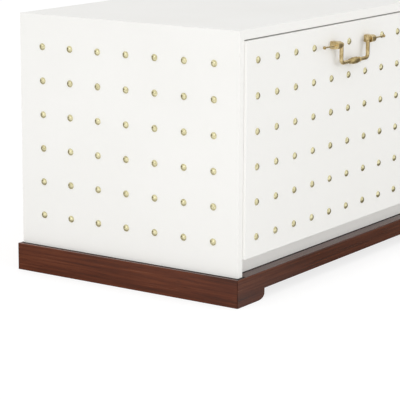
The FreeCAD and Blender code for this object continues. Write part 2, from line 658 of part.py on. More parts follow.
def make_post(hand, end, post_screws):
    """Handle post: square block with a round nose, bored for the bail's pin."""
    name = f"{hand}_handle_{end}_post"
    middle = f"({HANDS[hand]} * Layout.front_x + {HANDS[end]} * Layout.handle_half)"
    low_x = f"{middle} - Sizes.post_width / 2"
    shank = block(f"{name}_shank", ("Sizes.post_width", "Sizes.pin_offset", "Sizes.post_height"),
                  (low_x, "Layout.pin_y", "Layout.handle_z - Sizes.post_height / 2"))
    axis_start = (low_x, "Layout.pin_y", "Layout.handle_z")
    nose = rod(f"{name}_nose", "Sizes.post_height / 2", "Sizes.post_width", axis_start, RIGHT)
    bore = rod(f"{name}_bore", "Sizes.pin_radius + Sizes.pin_play", "Sizes.post_width",
               axis_start, RIGHT)
    keep(carve(name, fuse(f"{name}_blank", [shank, nose]), [bore, post_screws]))


def make_bail_half(name, middle, end):
    """Pin, knuckle, upright and lower corner at one end of the bail."""
    sign = HANDS[end]
    outward = RIGHT if end == "right" else LEFT
    upright_x = f"{middle} + {sign} * Layout.bail_half"
    pin = rod(f"{name}_{end}_pin", "Sizes.pin_radius",
              "Layout.post_outer + Sizes.pin_end - Layout.bail_half",
              (upright_x, "Layout.pin_y", "Layout.handle_z"), outward)
    knuckle = turned("Part::Sphere", f"{name}_{end}_knuckle", {"Radius": "Sizes.bail_knuckle"},
                     (upright_x, "Layout.pin_y", "Layout.handle_z"))
    upright = turned("Part::Cone", f"{name}_{end}_upright",
                     {"Radius1": "Sizes.bail_low_radius", "Radius2": "Sizes.bail_top_radius",
                      "Height": "Layout.bail_upright"},
                     (upright_x, "Layout.pin_y", "Layout.bail_z + Sizes.bail_corner"))
    corner = doc.addObject("Part::Torus", f"{name}_{end}_corner")
    corner.setExpression("Radius1", "Sizes.bail_corner")
    corner.setExpression("Radius2", "Sizes.bail_low_radius")
    corner.Angle3 = QUARTER_TURN
    lay_flat = FreeCAD.Rotation(RIGHT, QUARTER_TURN)
    turn = FreeCAD.Rotation(UP, -QUARTER_TURN if end == "right" else -2 * QUARTER_TURN)
    corner.Placement = FreeCAD.Placement(FreeCAD.Vector(), lay_flat.multiply(turn))
    move(corner, (f"{upright_x} - {sign} * Sizes.bail_corner", "Layout.pin_y",
                  "Layout.bail_z + Sizes.bail_corner"))
    ring = rod(f"{name}_{end}_ring", "Sizes.grip_ring_radius", "Sizes.grip_ring_width",
               (f"{middle} + {sign} * Sizes.grip_length / 2", "Layout.pin_y", "Layout.bail_z"),
               LEFT if end == "right" else RIGHT)
    return [pin, knuckle, upright, corner, ring]


def make_finials(name, middle):
    """Stem and ball beyond each post, one at either end of the bail."""
    finials = []
    for end, sign in HANDS.items():
        outward = RIGHT if end == "right" else LEFT
        stem = rod(f"{name}_{end}_stem", "Sizes.finial_stem_radius", "Layout.finial_stem",
                   (f"{middle} + {sign} * (Layout.post_outer + Sizes.pin_end)", "Layout.pin_y",
                    "Layout.handle_z"), outward)
        ball = turned("Part::Sphere", f"{name}_{end}_ball", {"Radius": "Sizes.finial_ball_radius"},
                      (f"{middle} + {sign} * (Layout.post_outer + Sizes.finial_reach)",
                       "Layout.pin_y", "Layout.handle_z"), outward)
        finials.append(fuse(f"{name}_{end}", [stem, ball]))
    return keep(bundle(name, finials))


def make_handle(hand, post_screws):
    """Swinging bail on two posts, with ball finials outside them."""
    name = f"{hand}_bail"
    middle = f"{HANDS[hand]} * Layout.front_x"
    for end in HANDS:
        make_post(hand, end, post_screws)
    bar = rod(f"{name}_bar", "Sizes.bail_low_radius",
              "2 * (Layout.bail_half - Sizes.bail_corner)",
              (f"{middle} - Layout.bail_half + Sizes.bail_corner", "Layout.pin_y",
               "Layout.bail_z"), RIGHT)
    grip = turned("Part::Ellipsoid", f"{name}_swell",
                  {"Radius1": "Sizes.grip_length / 2", "Radius2": "Sizes.grip_radius",
                   "Radius3": "Sizes.grip_radius"},
                  (middle, "Layout.pin_y", "Layout.bail_z"), RIGHT)
    pieces = [bar, grip]
    for end in HANDS:
        pieces += make_bail_half(name, middle, end)
    keep(fuse(name, pieces))
    make_finials(f"{name}_finials", middle)


def check_and_write():
    """Refuse a failed object or a bad solid, then write one file for each part."""
    doc.recompute()
    for item in doc.Objects:
        if "Invalid" in item.State or "Error" in item.State:
            raise RuntimeError(f"{item.Label} failed: {item.State}")
    for part in parts:
        if part.Shape.isNull() or not part.Shape.isValid() or not part.Shape.Solids:
            raise RuntimeError(f"{part.Label} has no valid solid")
    os.makedirs("parts", exist_ok=True)
    for part in parts:
        part.Shape.exportStep(f"parts/{part.Label}.step")
    print(f"{len(parts)} parts written")


sizes = fill_sheet("Sizes", SIZE_ROWS)
fill_sheet("Layout", LAYOUT_ROWS)
doc.recompute()

nail = make_nail()
back_screw = make_screw("back_screw", "Sizes.back_screw_length")
plinth_screw = make_screw("plinth_screw", "(Layout.block_height + Sizes.plinth_screw_bite)")
runner_screw = make_screw("runner_screw", "(Sizes.runner_sheet + Layout.runner_bite)")
front_screw = make_screw("front_screw", "(Sizes.box_board + Layout.front_bite)")
post_screw = make_screw("post_screw", "(Sizes.front_board + Layout.post_bite)")
doc.recompute()

side_nails = {hand: nail_side_board(hand) for hand in HANDS}
back_screws = screw_back_panel()
plinth_screws = screw_plinth()
case_runner_screws = screw_runners("case_runner_screws", tuple(HANDS), True)
drawer_runner_screws = {bay: screw_runners(f"{bay}_drawer_runner_screws", (bay,), False)
                        for bay in HANDS}

make_case()
make_plinth()
for bay in HANDS:
    for wall_hand in HANDS:
        make_runners(bay, wall_hand)
    make_drawer(bay)
check_and_write()
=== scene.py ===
"""Dresses a low campaign chest: white lacquer, brass nails, walnut plinth, drawers with bail pulls.

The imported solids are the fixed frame. Case, drawers, plinth, nail heads, screws and pulls are built
here as finer closed surfaces in the same place, and each hides the plain solids it stands for.
Hidden panels, blocks, runners and the handles' screws keep their solids and get a finish. Sizes
are in metres.
"""

import logging
import math
from dataclasses import dataclass, replace
from enum import Enum
from functools import cached_property
from typing import Callable, Sequence

import bmesh
import bpy
import numpy as np
from mathutils import Matrix, Vector


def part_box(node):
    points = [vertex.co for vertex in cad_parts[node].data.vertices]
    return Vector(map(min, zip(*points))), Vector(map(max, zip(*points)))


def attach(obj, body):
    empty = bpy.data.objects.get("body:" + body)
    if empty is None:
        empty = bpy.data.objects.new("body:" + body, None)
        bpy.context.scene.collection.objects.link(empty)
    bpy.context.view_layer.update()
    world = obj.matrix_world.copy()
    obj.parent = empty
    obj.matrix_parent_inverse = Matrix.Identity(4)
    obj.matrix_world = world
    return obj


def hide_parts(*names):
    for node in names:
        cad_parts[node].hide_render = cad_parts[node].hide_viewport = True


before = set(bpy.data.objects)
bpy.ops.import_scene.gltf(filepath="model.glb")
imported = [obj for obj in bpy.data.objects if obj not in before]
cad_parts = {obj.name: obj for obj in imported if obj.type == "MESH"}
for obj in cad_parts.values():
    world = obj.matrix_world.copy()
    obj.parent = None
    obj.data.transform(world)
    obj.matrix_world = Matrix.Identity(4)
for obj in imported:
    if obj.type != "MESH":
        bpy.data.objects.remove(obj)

log = logging.getLogger("campaign_chest")

Array = np.ndarray
Colour = tuple[float, float, float]
Point = tuple[float, float, float]
Pair = tuple[float, float]
Node = bpy.types.Node
Socket = bpy.types.NodeSocket

MM = 0.001
WELD = 1e-6
RIGHT_ANGLE = math.pi / 2
SHARP_ANGLE = math.radians(50)
RISING: Pair = (0.0, 1.0)
FALLING: Pair = (1.0, 0.0)
BULK: Pair = (0.3, 0.7)  # where most of a cloudy pattern's values lie
WHITE: Colour = (1.0, 1.0, 1.0)
MIX_INPUTS, MIX_RESULT = (0, 6, 7), 2  # a mix node's share, two colours and mixed colour


class Axis(Enum):
    """A direction that a board runs along; the value is its place in a point."""

    X = 0
    Y = 1
    Z = 2

    @property
    def across(self) -> list[int]:
        """The places of the two other directions, lower one first."""
        return [place for place in range(3) if place != self.value]


class Hand(Enum):
    """The left or the right one of a pair; the value is its sign along X."""

    LEFT = -1
    RIGHT = 1

    @property
    def word(self) -> str:
        """The word that names this one in node names."""
        return self.name.lower()

    @property
    def way(self) -> Array:
        """The direction towards this side."""
        return np.array([float(self.value), 0.0, 0.0])


class Slot(Enum):
    """The record's material slots."""

    LACQUER = "white_lacquer"
    WALNUT = "walnut"
    BRASS = "brass"
    MAPLE = "maple"
    PLYWOOD = "birch_plywood"
    PINE = "pine"
    RUNNER = "zinc_runners"
    SCREW = "zinc_screws"


# --------------------------------------------------------------------------------------- shapes


@dataclass(frozen=True)
class Box:
    """Lowest and highest corner of something."""

    low: Array
    high: Array

    @classmethod
    def of(cls, *nodes: str) -> "Box":
        """The box round one or more nodes of the frame."""
        lows, highs = zip(*map(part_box, nodes))
        return cls(np.min(lows, axis=0), np.max(highs, axis=0))

    @classmethod
    def round(cls, points: Array) -> "Box":
        """The box round some points."""
        return cls(points.min(axis=0), points.max(axis=0))

    @property
    def middle(self) -> Array:
        """The box's middle."""
        return (self.low + self.high) / 2

    @property
    def size(self) -> Array:
        """The box's extent along each axis."""
        return self.high - self.low

    def corners(self, axis: Axis) -> Array:
        """The four corners of the box's outline seen along an axis, counter-clockwise."""
        (left, right), (low, high) = ((self.low[side], self.high[side]) for side in axis.across)
        return np.array([(left, low), (right, low), (right, high), (left, high)])


def rounded_outline(
    corners: Array, radii: Array, inset: float, weights: Array, steps: int
) -> Array:
    """Draws a closed outline with rounded corners, drawn in from the given one.

    Each side moves inwards along its normal by the inset times its weight. A corner's arc touches
    both sides: from where they meet, its centre lies off by the sum of their unit normals times
    the radius over one plus their dot product, and its directions turn evenly between theirs.

    Args:
        corners: Sharp corners, counter-clockwise, one row each.
        radii: Radius of each corner's arc before the outline is drawn in.
        inset: How far a side of weight one moves inwards.
        weights: Weight of the side that starts at each corner.
        steps: Points on each corner's arc.

    Returns:
        The outline's points, steps rows for each corner.
    """
    along = np.roll(corners, -1, axis=0) - corners
    along = along / np.linalg.norm(along, axis=1, keepdims=True)
    before_along = np.roll(along, 1, axis=0)
    after = np.stack([-along[:, 1], along[:, 0]], axis=1)
    before = np.roll(after, 1, axis=0)
    reach = (after * corners).sum(axis=1) + inset * weights
    offsets = np.stack([np.roll(reach, 1), reach], axis=1)
    meet = np.linalg.solve(np.stack([before, after], axis=1), offsets[..., None])[..., 0]

    cross = before_along[:, 0] * along[:, 1] - before_along[:, 1] * along[:, 0]
    turn = np.arctan2(cross, (before_along * along).sum(axis=1))
    side = np.sign(turn)
    shrink = inset * (weights + np.roll(weights, 1)) / 2
    radius = np.where(radii > 0, np.maximum(radii - side * shrink, 0), 0)
    spread = radius / (1 + (before * after).sum(axis=1))
    centre = meet + (side * spread)[:, None] * (before + after)

    start = np.arctan2(-side * before[:, 1], -side * before[:, 0])
    angle = start[:, None] + turn[:, None] * np.linspace(0, 1, steps)
    arc = np.stack([np.cos(angle), np.sin(angle)], axis=2) * radius[:, None, None]
    return (centre[:, None, :] + arc).reshape(-1, 2)


@dataclass(frozen=True)
class Board:
    """An outline run along one axis, with rounded corners and rounded end arrises."""

    axis: Axis
    corners: Array  # the outline's, counter-clockwise in the two other directions
    start: float
    end: float
    radii: float | Sequence[float] = 0.0  # of the corners, each or all
    edges: Pair = (0.0, 0.0)  # radius of the arris at the start and at the end
    weights: float | Sequence[float] = 1.0  # share of it by which each side draws in, or all
    breaks: tuple[float, ...] = ()  # further places of the outline, for trim to bend it there
    trim: Callable[[Array], Array] | None = None  # moves the points, such as to cut a mitre
    steps: int = 5  # points on each rounded corner, outlines on each rounded arris

    @classmethod
    def block(cls, box: Box, axis: Axis, radius: float, edges: Pair | None = None) -> "Board":
        """A rounded block that fills a box.

        Args:
            box: The box.
            axis: The direction that the outline is run along.
            radius: Radius of the arrises along the axis.
            edges: Radius of those at the start and the end; the same one if left out.

        Returns:
            The board.
        """
        low, high = box.low[axis.value], box.high[axis.value]
        return cls(axis, box.corners(axis), low, high, radius, edges or (radius, radius))

    def arris(self, edge: float) -> tuple[Array, Array]:
        """Insets and advances round an end arris: its radius times one less sine and cosine."""
        angle = np.linspace(0, RIGHT_ANGLE, self.steps if edge else 1)
        return edge * (1 - np.sin(angle)), edge * (1 - np.cos(angle))

    def rings(self) -> Array:
        """Works out the board's outlines from start to end.

        Returns:
            Outlines by points by three.
        """
        radii, weights = (
            np.broadcast_to(np.asarray(given, float), len(self.corners))
            for given in (self.radii, self.weights)
        )
        (first_in, first_on), (last_in, last_on) = map(self.arris, self.edges)
        insets = [*first_in, *(0.0 for _ in self.breaks), *last_in[::-1]]
        flat = np.stack([
            rounded_outline(self.corners, radii, inset, weights, self.steps) for inset in insets
        ])
        if self.axis is Axis.Y:
            flat = flat[:, ::-1]
        points = np.empty(flat.shape[:2] + (3,))
        points[..., self.axis.across] = flat
        stations = np.array([*(self.start + first_on), *self.breaks, *(self.end - last_on[::-1])])
        points[..., self.axis.value] = stations[:, None]
        return self.trim(points) if self.trim else points


def circle(first: Array, second: Array, sides: int) -> Array:
    """Points once round: the cosine along the first direction plus the sine along the second."""
    angle = np.linspace(0, math.tau, sides, endpoint=False)[:, None]
    return np.cos(angle) * first + np.sin(angle) * second


def turned(profile: Array, centre: Array, axis: Array, sides: int) -> Array:
    """Turns a profile about an axis.

    A point is the centre, plus the profile's second number along the axis, plus its first number
    along a direction that goes once round the axis.

    Args:
        profile: Rows of radius and place along the axis.
        centre: The point where the place along the axis is zero.
        axis: The axis's direction, level and of length one.
        sides: Points on each circle.

    Returns:
        Circles by points by three.
    """
    first = np.cross((0.0, 0.0, 1.0), axis)
    ring = circle(first, np.cross(axis, first), sides)
    return centre + profile[:, 0, None, None] * ring + profile[:, 1, None, None] * axis


def bent_rod(path: Array, tangent: Array, radius: Array, sides: int) -> Array:
    """Carries a circle of changing radius along a path that lies in a plane square to Y.

    Each circle stands square to the path, on Y and the cross product of Y and the tangent.

    Args:
        path: The path's points.
        tangent: The path's unit direction at each point.
        radius: The rod's radius at each point.
        sides: Points on each circle.

    Returns:
        Circles by points by three.
    """
    depth = np.array([0.0, 1.0, 0.0])
    ring = circle(np.cross(depth, tangent)[:, None, :], depth, sides)
    return path[:, None, :] + radius[:, None, None] * ring


class Skin:
    """Collects closed surfaces as arrays and lays them into one mesh."""

    def __init__(self) -> None:
        """Starts with no surface."""
        self.points: list[Array] = []
        self.faces: list[list[int]] = []
        self.count = 0

    def add(self, rings: Array, places: Array | None = None) -> "Skin":
        """Adds the surface through a row of closed outlines, with a flat face at each end.

        Args:
            rings: Outlines by points by three, each right-handed about the row's direction.
            places: How far each copy is moved, one row each; one unmoved copy if left out.

        Returns:
            This skin.
        """
        places = np.zeros((1, 3)) if places is None else places
        rows, around = rings.shape[:2]
        grid = np.arange(rows * around).reshape(rows, around)
        after = np.roll(grid, -1, axis=1)
        quads = np.stack([grid[:-1], after[:-1], after[1:], grid[1:]], axis=-1).reshape(-1, 4)
        ends = np.stack([grid[0, ::-1], grid[-1]])
        shift = self.count + np.arange(len(places)) * grid.size
        for faces in (quads, ends):
            copies = faces + shift[:, None, None]
            self.faces += copies.reshape(-1, faces.shape[1]).tolist()
        self.points.append((rings.reshape(1, -1, 3) + places[:, None, :]).reshape(-1, 3))
        self.count += grid.size * len(places)
        return self

    def lay(self, name: str) -> bpy.types.Object:
        """Makes the mesh, welds points that coincide and shades it smooth with true flat faces.

        Args:
            name: The new object's name.

        Returns:
            The object, at the origin.
        """
        mesh = bpy.data.meshes.new(name)
        mesh.from_pydata(np.concatenate(self.points), [], self.faces)
        work = bmesh.new()
        work.from_mesh(mesh)
        bmesh.ops.remove_doubles(work, verts=work.verts, dist=WELD)
        work.to_mesh(mesh)
        work.free()
        mesh.shade_smooth()
        mesh.set_sharp_from_angle(angle=SHARP_ANGLE)
        piece = bpy.data.objects.new(name, mesh)
        bpy.context.scene.collection.objects.link(piece)
        flat = piece.modifiers.new("flat_faces", "WEIGHTED_NORMAL")
        flat.keep_sharp = True
        flat.weight = 100
        return piece


def solids_of(node: str) -> list[Array]:
    """Finds the separate solids in a node of the frame.

    Points at the same place are made one, and each point then takes the lowest number among the
    triangles it belongs to, over and over, until every solid carries a single number.

    Args:
        node: The node's name.

    Returns:
        Each solid's points, in the order in which the solids come in the node.
    """
    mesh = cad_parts[node].data
    places = np.empty(len(mesh.vertices) * 3, np.float32)
    mesh.vertices.foreach_get("co", places)
    places = places.reshape(-1, 3).astype(float)
    mesh.calc_loop_triangles()
    triangles = np.empty(len(mesh.loop_triangles) * 3, np.int32)
    mesh.loop_triangles.foreach_get("vertices", triangles)
    cells = np.round(places / WELD).astype(np.int64)
    _, first, same = np.unique(cells, axis=0, return_index=True, return_inverse=True)
    corner = same.reshape(-1)[triangles]
    label, spread = None, np.arange(len(first))
    while label is None or not np.array_equal(spread, label):
        label = spread.copy()
        np.minimum.at(spread, corner, np.repeat(label[corner].reshape(-1, 3).min(axis=1), 3))
    return [places[first[label == number]] for number in np.unique(label[corner])]


# ------------------------------------------------------------------------------------- finishes


@dataclass(frozen=True)
class Cloud:
    """A cloudy pattern about one half."""

    repeats: float  # a metre; across the grain, where there is one
    along: float = 0.0  # repeats a metre along the grain
    detail: float = 2.0
    swirl: float = 0.0


class Wires:
    """Short hand for wiring a node tree."""

    def __init__(self, tree: bpy.types.NodeTree) -> None:
        """Empties the tree and keeps it."""
        self.tree = tree
        tree.nodes.clear()

    def add(self, kind: str, **settings: object) -> Node:
        """Adds a shader node.

        Args:
            kind: What its type's name says after ShaderNode.
            settings: A value for each of its properties that is set.

        Returns:
            The node.
        """
        node = self.tree.nodes.new(f"ShaderNode{kind}")
        for name, value in settings.items():
            setattr(node, name, value)
        return node

    def join(self, value: object, socket: Socket) -> None:
        """Links an output to an input, or gives the input a value; a colour becomes opaque.

        Args:
            value: The output or the value.
            socket: The input.
        """
        if isinstance(value, Socket):
            self.tree.links.new(value, socket)
        else:
            socket.default_value = (*value, 1.0) if socket.type == "RGBA" else value

    def feed(self, node: Node, *values: object, **inputs: object) -> Node:
        """Sets or links a node's inputs.

        Args:
            node: The node.
            values: An output or a value for each input in order, from the first one on.
            inputs: The same for named inputs; an underscore in a name stands for a space.

        Returns:
            The node.
        """
        for socket, value in zip(node.inputs, values):
            self.join(value, socket)
        for name, value in inputs.items():
            self.join(value, node.inputs[name.replace("_", " ")])
        return node

    @cached_property
    def place(self) -> Socket:
        """The point on the object."""
        return self.add("TexCoord").outputs["Object"]

    def cloud(self, cloud: Cloud, grain: Axis | None = None) -> Socket:
        """Adds a cloudy pattern.

        Args:
            cloud: The pattern.
            grain: The direction along which it is drawn out, if any.

        Returns:
            The pattern's value.
        """
        vector, scale = self.place, cloud.repeats
        if grain is not None:
            stretch = [cloud.repeats] * 3
            stretch[grain.value] = cloud.along
            mapping = self.feed(self.add("Mapping"), Vector=vector, Scale=stretch)
            vector, scale = mapping.outputs["Vector"], 1.0
        noise = self.feed(self.add("TexNoise"), Vector=vector, Scale=scale)
        return self.feed(noise, Detail=cloud.detail, Distortion=cloud.swirl).outputs["Fac"]

    def span(self, value: Socket, source: Pair, target: Pair = RISING) -> Socket:
        """Maps one range of a value to another, clamped."""
        return self.feed(self.add("MapRange"), value, *source, *target).outputs["Result"]

    def work_out(self, operation: str, *values: Socket | float) -> Socket:
        """The result of one of Blender's operations on values."""
        return self.feed(self.add("Math", operation=operation), *values).outputs[0]

    def sum(self, first: Socket, second: Socket, share: float) -> Socket:
        """The first value plus a share of the second."""
        return self.work_out("MULTIPLY_ADD", second, share, first)

    def towards(self, way: Socket, target: Point) -> Socket:
        """The dot product of a direction or point with a target direction."""
        node = self.add("VectorMath", operation="DOT_PRODUCT")
        return self.feed(node, way, target).outputs["Value"]

    def ramp(self, value: Socket, places: Sequence[float], colours: Sequence[Colour]) -> Socket:
        """Adds a colour that runs through some colours as a value grows past their places.

        Args:
            value: The value.
            places: The value at which each colour shows.
            colours: The colours.

        Returns:
            The colour.
        """
        node = self.add("ValToRGB")
        band = node.color_ramp
        while len(band.elements) < len(colours):
            band.elements.new(1.0)
        for element, place, colour in zip(band.elements, places, colours):
            element.position, element.color = place, (*colour, 1.0)
        return self.feed(node, Fac=value).outputs["Color"]

    def blend(
        self, share: Socket | float, first: Socket | Colour, second: Socket | Colour
    ) -> Socket:
        """Mixes two colours.

        Args:
            share: Share of the second colour.
            first: The first colour.
            second: The second colour.

        Returns:
            The mixed colour.
        """
        node = self.add("Mix", data_type="RGBA")
        for place, value in zip(MIX_INPUTS, (share, first, second)):
            self.join(value, node.inputs[place])
        return node.outputs[MIX_RESULT]

    def relief(self, height: Socket, depth: float, under: Socket | None = None) -> Socket:
        """Disturbs the surface normal by a height map.

        Args:
            height: The height, from zero to one.
            depth: How far a height of one stands out.
            under: A normal that is already disturbed, if any.

        Returns:
            The normal.
        """
        node = self.feed(self.add("Bump"), Height=height, Distance=depth)
        if under is not None:
            self.feed(node, Normal=under)
        return node.outputs["Normal"]


@dataclass(frozen=True)
class Finish:
    """The finish of a surface; each kind wires its own nodes in paint."""

    name: str
    slot: Slot

    def paint(self, wires: Wires, shader: Node) -> None:
        """Wires the finish into a surface shader."""
        raise NotImplementedError

    def material(self) -> bpy.types.Material:
        """Gives the finish as a material, made on first use.

        Returns:
            The material.
        """
        found = bpy.data.materials.get(self.name)
        if found:
            return found
        material = bpy.data.materials.new(self.name)
        material.use_nodes = True
        wires = Wires(material.node_tree)
        shader = wires.add("BsdfPrincipled")
        self.paint(wires, shader)
        wires.feed(wires.add("OutputMaterial"), Surface=shader.outputs["BSDF"])
        return material


@dataclass(frozen=True)
class Lacquer(Finish):
    """Sprayed satin lacquer: nearly even colour, faint clouding and a sprayed coat's ripple."""

    colour: Colour = (0.880, 0.874, 0.850)
    shade: Colour = (0.860, 0.853, 0.826)  # where the coat clouds
    gloss: Pair = (0.40, 0.50)  # least and greatest roughness
    shine: float = 0.3
    cloud: Cloud = Cloud(5.0, detail=3.0)
    speck: Cloud = Cloud(420.0)
    speck_share: float = 0.25
    mottle: Pair = (0.35, 0.85)  # range of the tone from the colour to the shade
    ripple: Cloud = Cloud(650.0, detail=1.0)
    ripple_depth: float = 0.004 * MM

    def paint(self, wires: Wires, shader: Node) -> None:
        """Wires clouding into the colour and the gloss, and the ripple into the normal.

        Args:
            wires: The material's node tree.
            shader: The surface shader.
        """
        cloud = wires.cloud(self.cloud)
        tone = wires.sum(cloud, wires.cloud(self.speck), self.speck_share)
        wires.feed(
            shader,
            Base_Color=wires.blend(wires.span(tone, self.mottle), self.colour, self.shade),
            Roughness=wires.span(cloud, BULK, self.gloss),
            Specular_IOR_Level=self.shine,
            Normal=wires.relief(wires.cloud(self.ripple), self.ripple_depth),
        )


@dataclass(frozen=True)
class Timber(Finish):
    """Wood: broad figure and fine streaks drawn out along the grain, dark pores, a clear coat."""

    shades: tuple[Colour, Colour, Colour]  # late wood, between, early wood
    grain: Axis = Axis.X
    figure: float = 22.0  # repeats a metre across the grain
    streak: float = 240.0  # the same for the fine streaks
    figure_range: Pair = (0.25, 0.75)
    figure_share: float = 0.5  # how far the figure moves the tone
    streak_range: Pair = (0.2, 0.8)
    streak_swing: Pair = (-0.6, 0.6)
    streak_share: float = 0.32
    streak_depth: float = 0.025 * MM
    tones: tuple[float, float, float] = (0.22, 0.56, 0.95)  # those that show the three shades
    pore: float = 0.5  # how strongly pores darken the wood
    pore_range: Pair = (0.60, 0.74)
    pore_depth: float = 0.012 * MM
    gloss: Pair = (0.30, 0.46)
    shine: float = 0.5

    def laid(self, name: str, grain: Axis, tone: float = 1.0) -> "Timber":
        """The same wood with its grain along an axis and all its colours times a tone; a tone below
        one gives a darker copy as painted shade.
        """
        shades = tuple(tuple(tone * part for part in shade) for shade in self.shades)
        return replace(self, name=name, grain=grain, shades=shades)

    def paint(self, wires: Wires, shader: Node) -> None:
        """Wires figure, streaks and pores into the colour, the gloss and the normal.

        Args:
            wires: The material's node tree.
            shader: The surface shader.
        """
        figure = wires.cloud(Cloud(self.figure, along=1.6, detail=4.0, swirl=1.4), self.grain)
        streak = wires.cloud(Cloud(self.streak, along=7.0, detail=3.0, swirl=0.4), self.grain)
        pores = wires.cloud(Cloud(1500.0, along=60.0, detail=1.0), self.grain)
        even, swing = self.tones[1], self.figure_share / 2
        broad = wires.span(figure, self.figure_range, (even - swing, even + swing))
        fine = wires.span(streak, self.streak_range, self.streak_swing)
        tone = wires.sum(broad, fine, self.streak_share)
        wood = wires.ramp(tone, self.tones, self.shades)
        hole = wires.span(pores, self.pore_range)
        darker = wires.blend(hole, wood, self.shades[0])
        streaky = wires.relief(streak, self.streak_depth)
        wires.feed(
            shader,
            Base_Color=wires.blend(self.pore, wood, darker),
            Roughness=wires.span(streak, BULK, self.gloss),
            Specular_IOR_Level=self.shine,
            Normal=wires.relief(hole, -self.pore_depth, streaky),
        )


@dataclass(frozen=True)
class Plywood(Finish):
    """Birch plywood: quiet veneer on the faces and a stack of plies along the edges."""

    thickness: Axis
    grain: Axis
    plies: float = 720.0  # a metre
    ply_blur: float = 0.3
    veneer: Colour = (0.66, 0.52, 0.35)
    heart: Colour = (0.55, 0.40, 0.25)  # the veneer's darker growth rings
    glue: Colour = (0.36, 0.23, 0.12)  # plies with their grain endways
    rings: Pair = (0.0, 0.8)  # how far growth rings move the tone
    flecks: float = 0.3  # how far flecks move it
    tone_range: Pair = (0.1, 1.0)
    layers: Pair = (0.35, 0.6)  # where, between two plies, the dark one ends and the pale starts
    facing: Pair = (0.4, 0.6)  # how squarely an edge and a face look through the panel
    gloss: Pair = (0.48, 0.62)
    fleck_depth: float = 0.03 * MM

    def paint(self, wires: Wires, shader: Node) -> None:
        """Wires the veneer, and the plies where the surface stands square to the faces.

        Args:
            wires: The material's node tree.
            shader: The surface shader.
        """
        figure = wires.cloud(Cloud(9.0, along=1.4, detail=3.0, swirl=2.2), self.grain)
        fleck = wires.cloud(Cloud(900.0, along=40.0, detail=1.0), self.grain)
        tone = wires.sum(wires.span(figure, BULK, self.rings), fleck, self.flecks)
        veneer = wires.blend(wires.span(tone, self.tone_range), self.veneer, self.heart)
        stripes = wires.add("TexWave", bands_direction=self.thickness.name)
        scale = self.plies / math.tau
        wires.feed(stripes, Vector=wires.place, Scale=scale, Distortion=self.ply_blur)
        plies = wires.ramp(stripes.outputs["Fac"], self.layers, (self.glue, self.veneer))
        normal = wires.add("TexCoord").outputs["Normal"]
        parts = wires.feed(wires.add("SeparateXYZ"), normal).outputs
        through = wires.work_out("ABSOLUTE", parts[self.thickness.value])
        edge = wires.span(through, self.facing, FALLING)
        wires.feed(
            shader,
            Base_Color=wires.blend(edge, veneer, plies),
            Roughness=wires.span(fleck, BULK, self.gloss),
            Normal=wires.relief(fleck, self.fleck_depth),
        )


@dataclass(frozen=True)
class Metal(Finish):
    """Metal with uneven tarnish, fine scratches and a soft polish."""

    bright: Colour
    dull: Colour  # where it is tarnished
    gloss: Pair
    cloud: float = 90.0  # the tarnish's repeats a metre
    scratch: float = 0.006 * MM
    tarnish: Pair = (0.42, 0.70)  # where, in its pattern, the tarnish begins and is full
    rubbed: float = 0.3  # how far scratches move the roughness
    polish: Pair = (0.4, 0.9)

    def paint(self, wires: Wires, shader: Node) -> None:
        """Wires tarnish into the colour and the gloss, and scratches into the normal.

        Args:
            wires: The material's node tree.
            shader: The surface shader.
        """
        tarnish = wires.cloud(Cloud(self.cloud, detail=4.0, swirl=0.6))
        lines = wires.cloud(Cloud(2600.0, along=400.0), Axis.X)
        rough = wires.sum(tarnish, lines, self.rubbed)
        wires.feed(
            shader,
            Base_Color=wires.blend(wires.span(tarnish, self.tarnish), self.bright, self.dull),
            Roughness=wires.span(rough, self.polish, self.gloss),
            Metallic=1.0,
            Normal=wires.relief(lines, self.scratch),
        )


WHITE_LACQUER = Lacquer("white_satin_lacquer", Slot.LACQUER)
POLISHED_BRASS = Metal(
    "polished_brass", Slot.BRASS, (0.70, 0.56, 0.31), (0.38, 0.27, 0.11), (0.24, 0.38)
)
# A darker brass for the pull's grip than for the rest of the pull
DARKER_GRIP_BRASS = Metal(
    "handled_brass", Slot.BRASS, (0.54, 0.42, 0.20), (0.30, 0.21, 0.08), (0.28, 0.42)
)
NAIL_BRASS = Metal(
    "nail_brass", Slot.BRASS, (0.76, 0.71, 0.46), (0.50, 0.45, 0.26), (0.08, 0.18), cloud=160.0
)
RUNNER_ZINC = Metal(
    "runner_zinc", Slot.RUNNER, (0.60, 0.62, 0.65), (0.44, 0.46, 0.50), (0.30, 0.46),
    cloud=60.0, scratch=0.010 * MM,
)
SCREW_ZINC = Metal(
    "screw_zinc", Slot.SCREW, (0.58, 0.57, 0.52), (0.40, 0.39, 0.34), (0.26, 0.40),
    cloud=300.0, scratch=0.008 * MM,
)
WALNUT = Timber(
    "walnut", Slot.WALNUT, ((0.026, 0.008, 0.004), (0.096, 0.023, 0.009), (0.190, 0.054, 0.020)),
    figure=34.0, figure_share=0.26, streak_share=0.36, gloss=(0.16, 0.28), shine=0.24,
)
# Near-black wood for the strip of painted shadow round the case's foot
PAINTED_SHADOW_BLACK = Timber(
    "ebonised_strip", Slot.WALNUT,
    ((0.003, 0.003, 0.003), (0.006, 0.005, 0.005), (0.010, 0.009, 0.008)),
    Axis.Y, gloss=(0.55, 0.70), shine=0.2,
)
MAPLE = Timber(
    "maple", Slot.MAPLE, ((0.46, 0.31, 0.18), (0.60, 0.43, 0.26), (0.69, 0.52, 0.34)),
    figure=12.0, streak=170.0, pore=0.15, gloss=(0.38, 0.50),
)
PINE = Timber(
    "pine", Slot.PINE, ((0.44, 0.24, 0.09), (0.64, 0.43, 0.21), (0.72, 0.54, 0.31)),
    figure=45.0, streak=130.0, pore=0.1, gloss=(0.55, 0.70),
)


# --------------------------------------------------------------------------------------- pieces


